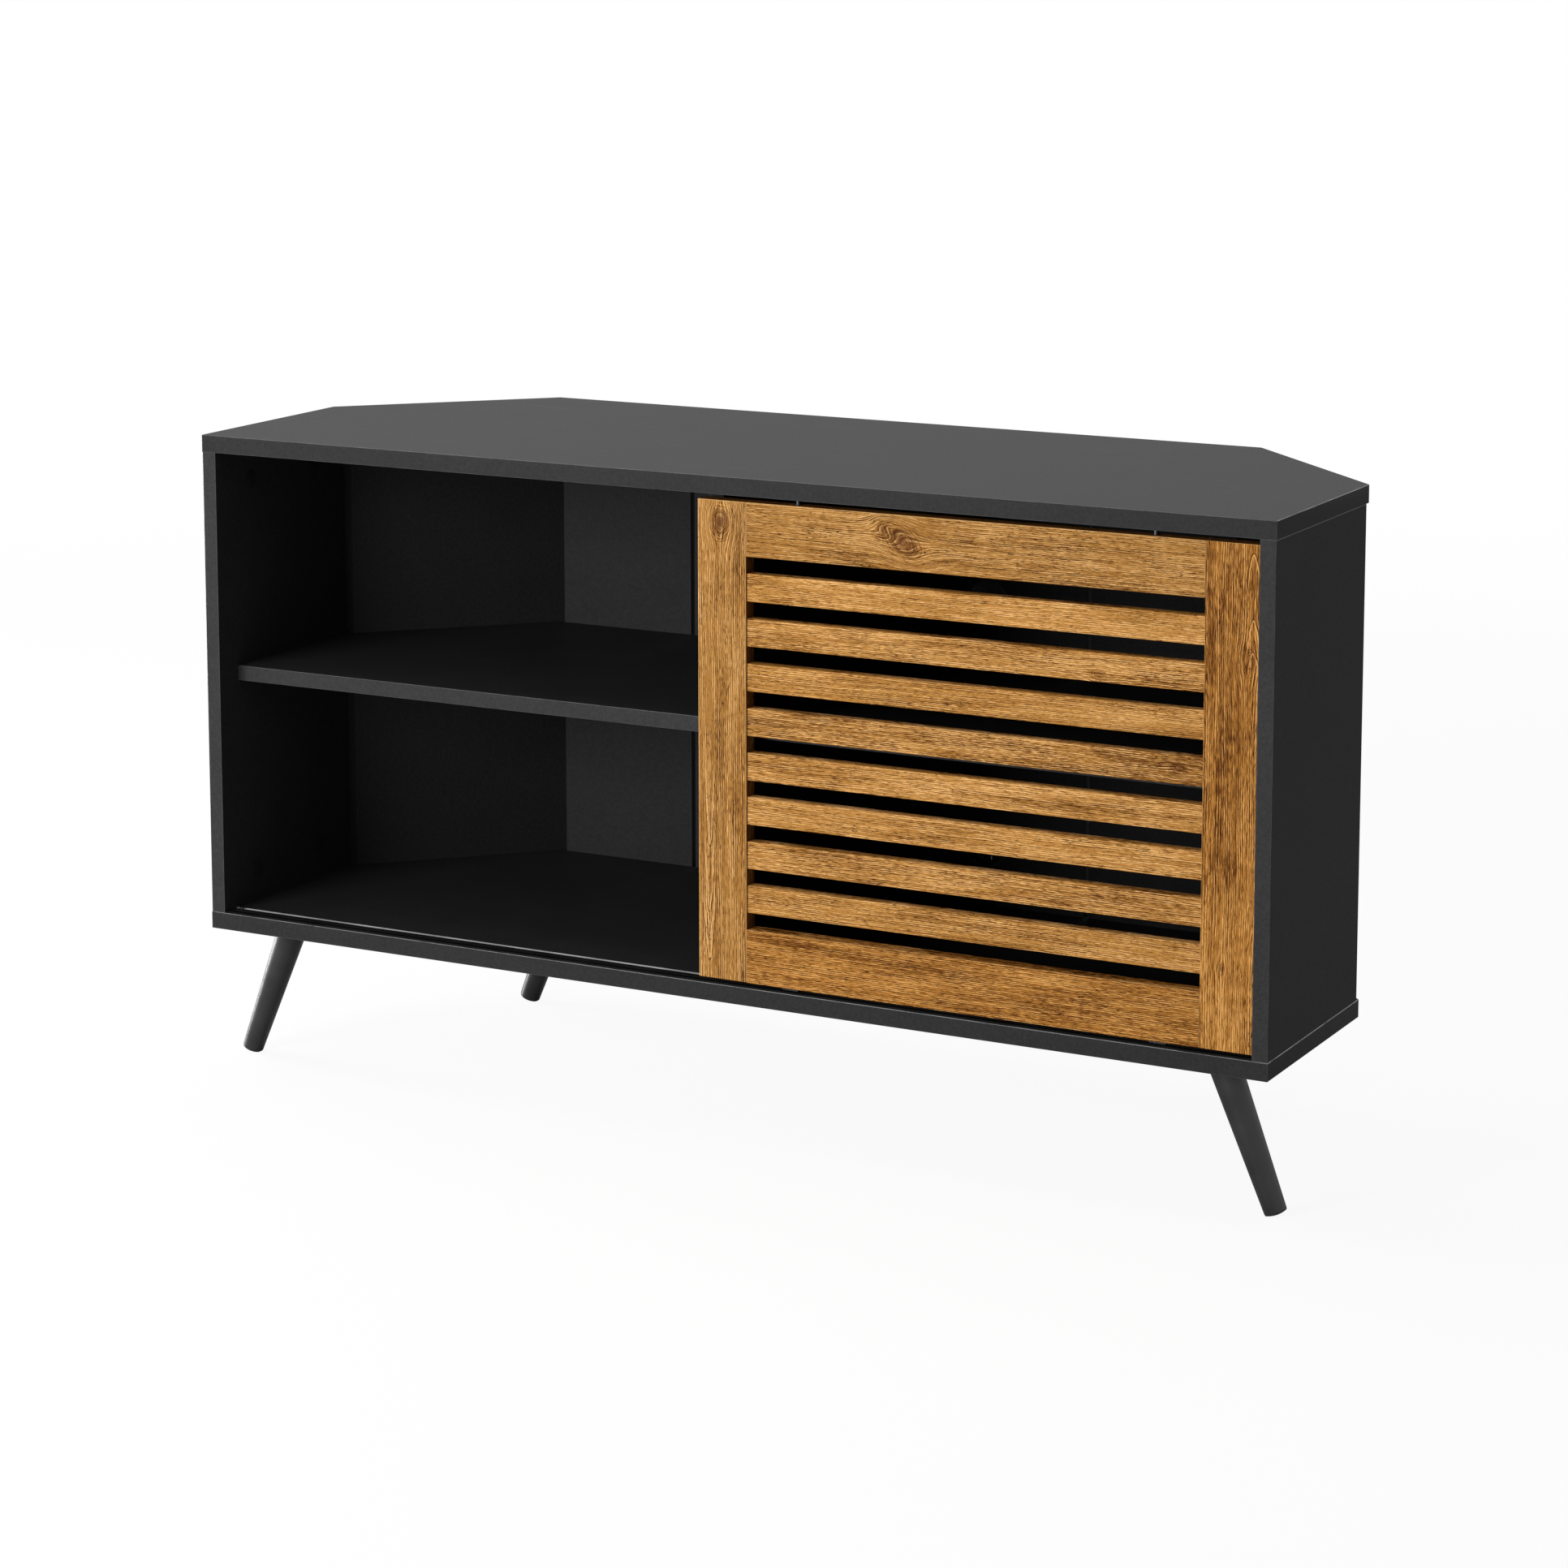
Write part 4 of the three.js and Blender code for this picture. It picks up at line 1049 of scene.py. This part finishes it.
class CABINET_OT_runners(bpy.types.Operator):
    """Make the track, the channel, the top guides and the rollers"""

    bl_idname = "cabinet.runners"
    bl_label = "Track, guides and rollers"

    flange_height, pin_radius, sleeve_bore, pin_ease = 1.2 * MM, 2.2 * MM, 2.35 * MM, 0.3 * MM
    wheel_bore, hub_radius, web_radius, rim_radius = 1.7 * MM, 4 * MM, 7.6 * MM, 8 * MM
    rim_half, web_half, crown, shortest_edge = 1.2 * MM, 0.6 * MM, 0.4 * MM, 5 * MM

    def execute(self, context):
        ease = context.scene.cabinet_sizes.small_ease
        # The track's eased edges take the plastic in painted shadow.
        made = eased_board("bottom_track", ease, "Track with a light lip", "Matt black plastic",
                           least=self.shortest_edge)
        slot = measured("roller_wheel_left")[0].y
        # Upward faces in front of the slot take the door's painted shadow.
        refinish(made, "Matt black plastic",
                 lambda face: facing(z=1.0)(face) and face.center.y < slot)
        self.black_fitting("guide_channel", ease)
        for side in SIDES:
            self.guide(side)
            self.roller(side)
            self.black_fitting(f"roller_housing_{side}", ease)
            self.track_screw(f"track_screw_{side}", ease)
        return {"FINISHED"}

    def black_fitting(self, node, ease):
        """A moulded fitting in its CAD node's own shape."""
        eased_board(node, ease, "Black plastic", "Black plastic", least=self.shortest_edge)

    def guide(self, side):
        """A pin with its flange, and the sleeve round its top."""
        ease, pin = self.pin_ease, self.pin_radius
        middle, half = measured(f"guide_pin_{side}")
        low, high = middle.z - half.z, middle.z + half.z
        step = low + self.flange_height
        place = Matrix.Translation((middle.x, middle.y, 0))
        turned_piece(f"guide_pin_{side}", rod(low, step, half.x, ease)[:5] + [(pin, step)]
                     + rod(step, high, pin, ease)[3:], place, "Dull steel")
        middle, half = measured(f"guide_sleeve_{side}")
        turned_piece(f"guide_sleeve_{side}",
                     rod(middle.z - half.z, middle.z + half.z, half.x, ease, self.sleeve_bore),
                     place, "Smoke grey nylon")

    def roller(self, side):
        """A wheel with a crowned rim, and its axle."""
        middle, half = measured(f"roller_wheel_{side}")
        place = Matrix.Translation(middle) @ Matrix.Rotation(math.pi / 2, 4, "X")
        profile = [(self.wheel_bore, -half.y), (self.hub_radius, -half.y),
                   (self.hub_radius, -self.web_half), (self.web_radius, -self.web_half),
                   (self.rim_radius, -self.rim_half), (half.z - self.crown, -self.rim_half),
                   (half.z, -self.web_half)]
        profile += [(radius, -height) for radius, height in reversed(profile)]
        turned_piece(f"roller_wheel_{side}", profile, place, "Smoke grey nylon")
        _, half = measured(f"roller_axle_{side}")
        turned_piece(f"roller_axle_{side}", rod(-half.y, half.y, half.z, self.pin_ease), place,
                     "Zinc-plated steel")

    def track_screw(self, node, ease):
        """A small countersunk screw at the end of the track."""
        middle, half = measured(node)
        head, shank, deep = half.x, half.x * 0.5, -2 * half.z
        shape, rings = turned([(0, deep), (shank, deep + 1.5 * MM), (shank, -1 * MM),
                               (head, -ease), (head - ease, 0)])
        close_with_cross(shape, rings[-1], 0, head * 0.55, head * 0.26, 0.5 * MM)
        bmesh.ops.translate(shape, verts=shape.verts, vec=middle + Vector((0, 0, half.z)))
        piece(node, shape, "Dull steel")


class CABINET_OT_shelf_pins(bpy.types.Operator):
    """Make the eight pins that carry the shelves"""

    bl_idname = "cabinet.shelf_pins"
    bl_label = "Shelf pins"

    def execute(self, context):
        ease = context.scene.cabinet_sizes.turned_ease
        for node in (f"shelf_pin_{side}_{number}" for side in SIDES for number in range(1, 5)):
            middle, half = measured(node)
            place = Matrix.Translation(middle) @ Matrix.Rotation(math.pi / 2, 4, "Y")
            turned_piece(node, rod(-half.x, half.x, half.z, ease), place, "Zinc-plated steel")
        return {"FINISHED"}


class CABINET_OT_legs(bpy.types.Operator):
    """Make the four tapered legs, their plates and their glides"""

    bl_idname = "cabinet.legs"
    bl_label = "Legs"

    def execute(self, context):
        sizes = context.scene.cabinet_sizes
        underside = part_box("bottom_board")[0].z
        for corner in CORNERS:
            middle, _ = measured(f"leg_plate_{corner}")
            turn = 0 if corner.endswith("right") else math.pi
            place = (Matrix.Translation((middle.x, middle.y, underside))
                     @ Matrix.Rotation(turn, 4, "Z") @ Matrix.Rotation(-sizes.leg_splay, 4, "Y"))
            self.tube(corner, sizes, place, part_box(f"leg_{corner}")[1].z)
            self.glide(corner, sizes, place)
            eased_board(f"leg_plate_{corner}", sizes.plate_ease, "Black powder coat",
                        "Black powder coat", least=4 * MM)
        return {"FINISHED"}

    def tube(self, corner, sizes, place, top):
        """The tube runs up to the plate, where it is cut level."""
        rise, foot, end = sizes.leg_top_radius, sizes.leg_foot_radius, -sizes.leg_length
        upper = rise + (rise - foot) / sizes.leg_length * rise
        wall, ease = sizes.leg_wall, sizes.turned_ease
        shape, rings = turned([(foot - wall, end), (foot - ease, end), (foot, end + ease),
                               (upper, rise), (upper - wall, rise)], place)
        for ring, below in ((rings[3], rings[2]), (rings[4], rings[0])):
            for vert, start in zip(ring, below):
                run = vert.co - start.co
                vert.co = start.co + run * ((top - start.co.z) / run.z)
        piece(f"leg_{corner}", shape, "Black powder coat")

    def glide(self, corner, sizes, place):
        """A domed glide, worn flat where it stands on the floor."""
        radius, dome, end = sizes.glide_radius, sizes.glide_dome, -sizes.leg_length
        curve = (radius ** 2 + dome ** 2) / (2 * dome)
        half_angle, rounds, ease = math.asin(radius / curve), 12, 0.15 * MM
        rim_top = end - 0.02 * MM
        spigot = sizes.leg_foot_radius - sizes.leg_wall - 0.3 * MM
        angles = [half_angle * i / rounds for i in range(rounds + 1)]
        profile = [(curve * math.sin(a), end - sizes.glide_rim - dome + curve * (1 - math.cos(a)))
                   for a in angles]
        profile += [(radius, rim_top - ease), (radius - ease, rim_top), (spigot, rim_top),
                    (spigot, end + sizes.glide_spigot), (0, end + sizes.glide_spigot)]
        shape, _ = turned(profile, place)
        for vert in shape.verts:
            vert.co.z = max(vert.co.z, 0.0)
        piece(f"leg_glide_{corner}", shape, "Black plastic")


class CABINET_OT_cam_locks(bpy.types.Operator):
    """Make the cam locks with their bolts, and the caps over those inside the bays"""

    bl_idname = "cabinet.cam_locks"
    bl_label = "Cam locks and caps"

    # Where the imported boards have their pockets, in metres: along the depth in the side panels
    # and the divider, along the width in the back panels, and as a point in the slanted ones
    side_pockets = (-140.85 * MM, -33.25 * MM)
    divider_pockets = (-115.25 * MM, 119.95 * MM)
    back_pockets = (161 * MM, 298.5 * MM)
    slanted_pocket = (460.5 * MM, 109.15 * MM)
    # Space between a pocket's face and a lock, and between a face and a cap
    lock_inset, cap_gap = 0.05 * MM, 0.02 * MM

    def execute(self, context):
        sizes = context.scene.cabinet_sizes
        locks, caps = self.places(sizes)
        depth, radius, ease = sizes.cam_depth, sizes.cam_radius, sizes.turned_ease
        shape, rings = turned([(0, -depth), (radius - ease, -depth), (radius, ease - depth),
                               (radius, -2 * ease), (radius, -ease), (radius - ease, 0)])
        close_with_cross(shape, rings[-1], 0, radius * 0.56, radius * 0.24, 2.5 * MM)
        crest, pitch, rise = sizes.bolt_radius, sizes.bolt_pitch, sizes.cam_end_distance
        root, reach = crest * 0.82, rise + sizes.bolt_in_board
        profile = [(0, radius * 0.9), (root, radius * 0.9), (root, rise)]
        while rise + pitch < reach:
            profile += [(crest, rise + pitch / 2), (root, rise + pitch)]
            rise += pitch
        bolt = Matrix.Translation((0, 0, -depth / 2)) @ Matrix.Rotation(-math.pi / 2, 4, "X")
        turned(profile + [(root * 0.7, reach), (0, reach)], bolt, 24, shape)
        scattered("cam_locks", shape, locks, "Zinc-plated steel")
        cap, tall = sizes.cap_radius, sizes.cap_height
        shape, _ = turned([(0, self.cap_gap), (cap, self.cap_gap), (cap, tall * 0.6),
                           (cap - tall, tall), (0, tall)])
        # The caps take the bays' darker laminate, painted shade.
        scattered("cam_dots", shape, caps, "Black laminate inside")
        return {"FINISHED"}

    def places(self, sizes):
        """Where the locks and caps go, each with its turn."""
        heights = ((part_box("bottom_board")[1].z + sizes.cam_end_distance, -1),
                   (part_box("top_board")[0].z - sizes.cam_end_distance, 1))
        inner_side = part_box("side_panel_left")[1].x
        divider_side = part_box("centre_divider")[1].x
        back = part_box("back_panel_middle")[1].y
        half = measured("side_panel_left")[1].x
        # Each pocket's place, the way that its lock looks out, and whether it has a cap
        pockets = [((sign * inner_side, y), (sign, 0), True)
                   for y in self.side_pockets for sign in (1, -1)]
        pockets += [((divider_side, y), (1, 0), True) for y in self.divider_pockets]
        pockets += [((sign * x, back), (0, 1), False)
                    for x in self.back_pockets for sign in (1, -1)]
        slant = math.sqrt(0.5)
        x, y = self.slanted_pocket
        pockets += [((sign * (x + slant * half), y + slant * half), (sign * slant, slant), False)
                    for sign in (1, -1)]
        locks, caps = [], []
        for spot, way, capped in pockets:
            for height, up in heights:
                # The lock's own Z looks out of the pocket and its own Y along the bolt.
                place, out, bolt = Vector((*spot, height)), Vector((*way, 0)), Vector((0, 0, up))
                turn = tuple(Matrix((bolt.cross(out), bolt, out)).transposed().to_euler("XYZ"))
                locks.append((place - out * self.lock_inset, turn))
                if capped:
                    caps.append((place, turn))
        return locks, caps


class CABINET_OT_cable_brushes(bpy.types.Operator):
    """Make the ring and the brush in each of the four cable holes"""

    bl_idname = "cabinet.cable_brushes"
    bl_label = "Cable brushes"

    def execute(self, context):
        sizes = context.scene.cabinet_sizes
        low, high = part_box("back_panel_middle")
        thick, ease, inset = high.y - low.y, sizes.turned_ease, 0.3 * MM
        bore, tube, rear = sizes.brush_radius, sizes.brush_ring_radius, sizes.brush_flange_height
        shape, _ = turned([(bore, inset), (tube, inset), (tube, thick)]
                          + rod(thick, thick + rear, sizes.brush_flange_radius, ease)[1:5]
                          + [(bore + ease, thick + rear), (bore, thick + rear - ease)])
        holes = [(x, z) for x in (-sizes.hole_side, sizes.hole_side)
                 for z in (sizes.hole_low, sizes.hole_high)]
        scattered("cable_rings", shape, [((x, low.y, z), (-math.pi / 2, 0, 0)) for x, z in holes],
                  "Black plastic")
        rows = [((x, low.y + thick * depth, z), (0, 0, 0)) for x, z in holes
                for depth in (0.45, 0.55)]
        made = grown("cable_bristles", brush_tree(), points_mesh("cable_bristle_places", rows),
                     Material=finish("Black plastic"), Radius=bore + 0.1 * MM,
                     Bristle=sizes.bristle_radius, Count=sizes.bristles)
        made.data.set_sharp_from_angle(angle=math.radians(30))
        fit_to_cabinet(made)
        return {"FINISHED"}


class CABINET_OT_leg_screws(bpy.types.Operator):
    """Make the sixteen screws that hold the leg plates"""

    bl_idname = "cabinet.leg_screws"
    bl_label = "Leg screws"

    def execute(self, context):
        sizes = context.scene.cabinet_sizes
        head, tall = sizes.screw_head_radius, sizes.screw_head_height
        shank, deep = sizes.screw_radius, -sizes.screw_length
        shape, rings = turned([(0, deep), (shank, deep + 2 * MM), (shank, 0), (head, 0),
                               (head, tall * 0.35), (head * 0.9, tall * 0.72),
                               (head * 0.7, tall)], steps=48)
        close_with_cross(shape, rings[-1], tall, head * 0.55, head * 0.24, 1.2 * MM)
        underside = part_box("bottom_board")[0].z - sizes.screw_face
        spread = sizes.plate_screw_spread
        places = []
        for corner in CORNERS:
            middle, _ = measured(f"leg_plate_{corner}")
            # Each screw is driven home at a turn of its own.
            places += [((middle.x + x * spread, middle.y + y * spread, underside),
                        (math.pi, 0.0, x * 31 + y * 17)) for x in (-1, 1) for y in (-1, 1)]
        scattered("leg_screws", shape, places, "Zinc-plated steel")
        return {"FINISHED"}


class CABINET_OT_stage(bpy.types.Operator):
    """Make the floor, the world, the lamps and the camera"""

    bl_idname = "cabinet.stage"
    bl_label = "Studio"

    # Name, place and size in metres, and watts of each lamp
    lamps = (("Key", (-1.25, -3.4, 1.15), 1.4, 104.0),
             ("Top", (-1.5, 0.3, 3.3), 2.4, 50.0),
             ("Left", (-3.0, 0.0, 0.3), 0.8, 104.0))
    lamp_target = Vector((0, 0, 0.4))
    floor_drop = 0.2 * MM
    glow_starts, glow_full = 1.2, 4.0

    def execute(self, context):
        scene, studio = context.scene, context.scene.cabinet_studio
        self.floor(scene, studio)
        scene.world = self.world(studio)
        for name, place, size, power in self.lamps:
            self.lamp(scene, name, Vector(place), size, power)
        self.camera(scene, studio)
        scene.view_settings.view_transform = "Standard"
        return {"FINISHED"}

    def floor(self, scene, studio):
        """A round floor that is plain white to the camera and holds the cabinet's shadow."""
        shape = bmesh.new()
        bmesh.ops.create_circle(shape, cap_ends=True, segments=96, radius=studio.floor_radius)
        bmesh.ops.translate(shape, verts=shape.verts, vec=(0, 0, -self.floor_drop))
        mesh = bpy.data.meshes.new("studio_floor")
        shape.to_mesh(mesh)
        shape.free()
        floor = bpy.data.objects.new("studio_floor", mesh)
        scene.collection.objects.link(floor)
        made, kit = empty_material("Pale floor")
        seen = kit.values("ShaderNodeLightPath")
        shown = kit.math("MAXIMUM", seen["Is Camera Ray"], seen["Is Transmission Ray"])
        grain = kit.noise(kit.object_place(), 0.02, 3.0)
        tint = kit.mix(grain * 0.04, scene.cabinet_colours.floor, (0.45, 0.45, 0.45, 1.0))
        matt = kit.add("ShaderNodeBsdfDiffuse", {"Color": kit.mix(shown, tint, WHITE)})
        plain = kit.add("ShaderNodeEmission", {"Strength": 1.0})
        far = kit.add("ShaderNodeVectorMath", {0: kit.add("ShaderNodeTexCoord", output="Object")},
                      "Value", operation="LENGTH")
        glow = kit.rise(far, self.glow_starts, self.glow_full, studio.floor_glow, 1.0)
        both = kit.add("ShaderNodeMixShader", {0: shown * glow, 1: matt, 2: plain})
        # From below the floor is clear, so that the underside shows.
        below = kit.add("ShaderNodeNewGeometry", output="Backfacing")
        clear = kit.add("ShaderNodeBsdfTransparent")
        kit.node("ShaderNodeOutputMaterial", {"Surface": kit.add(
            "ShaderNodeMixShader", {0: below * seen["Is Camera Ray"], 1: both, 2: clear})})
        mesh.materials.append(made)

    def world(self, studio):
        """A plain pale world, white where the camera, gloss or glass shows it."""
        world = bpy.data.worlds.new("Studio")
        world.use_nodes = True
        world.node_tree.nodes.clear()
        kit = NodeKit(world.node_tree)
        seen = kit.values("ShaderNodeLightPath")
        bright = kit.math("MAXIMUM", seen["Is Camera Ray"], seen["Is Glossy Ray"])
        bright = kit.math("MAXIMUM", bright, seen["Is Transmission Ray"])
        strength = bright * (1.0 - studio.ambient) + studio.ambient
        kit.node("ShaderNodeOutputWorld", {"Surface": kit.add(
            "ShaderNodeBackground", {"Color": WHITE, "Strength": strength})})
        return world

    def lamp(self, scene, name, place, size, power):
        """A soft square lamp that looks at the middle of the cabinet."""
        data = bpy.data.lights.new(name, "AREA")
        data.size, data.energy = size, power
        lamp = bpy.data.objects.new(name, data)
        lamp.location = place
        lamp.rotation_euler = (self.lamp_target - place).to_track_quat("-Z", "Y").to_euler()
        scene.collection.objects.link(lamp)

    def camera(self, scene, studio):
        """The camera that sees the cabinet's outline as the reference picture has it."""
        data = bpy.data.cameras.new("Camera")
        data.sensor_width, data.lens, data.shift_y = 36, studio.lens, studio.shift
        data.clip_start, data.clip_end = 0.05, 400
        camera = bpy.data.objects.new("Camera", data)
        yaw, pitch = studio.yaw, studio.pitch
        forward = Vector((-math.sin(yaw) * math.cos(pitch), math.cos(yaw) * math.cos(pitch),
                          -math.sin(pitch)))
        level = Vector((math.cos(yaw), math.sin(yaw), 0))
        right = level * math.cos(studio.roll) + level.cross(forward) * math.sin(studio.roll)
        axes = Matrix((right, right.cross(forward), -forward)).transposed()
        camera.matrix_world = Matrix.Translation(studio.place) @ axes.to_4x4()
        scene.collection.objects.link(camera)
        scene.camera = camera


class CABINET_PT_panel(bpy.types.Panel):
    """Lists the operators in the order in which they run"""

    bl_label = "Corner TV cabinet"
    bl_idname = "CABINET_PT_panel"
    bl_space_type = "VIEW_3D"
    bl_region_type = "UI"
    bl_category = "Cabinet"

    def draw(self, context):
        for operator in OPERATORS:
            self.layout.operator(operator.bl_idname)
        for key in GROUPS:
            group = getattr(context.scene, key)
            box = self.layout.box()
            for name in group.__annotations__:
                box.prop(group, name)


OPERATORS = (CABINET_OT_boards, CABINET_OT_inner_boards, CABINET_OT_door_frame,
             CABINET_OT_door_slats, CABINET_OT_runners, CABINET_OT_shelf_pins, CABINET_OT_legs,
             CABINET_OT_cam_locks, CABINET_OT_cable_brushes, CABINET_OT_leg_screws,
             CABINET_OT_stage)
GROUPS = {"cabinet_sizes": CabinetSizes, "cabinet_colours": CabinetColours,
          "cabinet_studio": CabinetStudio}
CLASSES = (*GROUPS.values(), *OPERATORS, CABINET_PT_panel)


def register():
    for cls in CLASSES:
        bpy.utils.register_class(cls)
    for key, group in GROUPS.items():
        setattr(bpy.types.Scene, key, PointerProperty(type=group))


def unregister():
    for key in GROUPS:
        delattr(bpy.types.Scene, key)
    for cls in reversed(CLASSES):
        bpy.utils.unregister_class(cls)


def main():
    """Runs the operators in order."""
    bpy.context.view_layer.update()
    register()
    for operator in OPERATORS:
        area, name = operator.bl_idname.split(".")
        getattr(getattr(bpy.ops, area), name)()


if __name__ == "__main__":
    main()
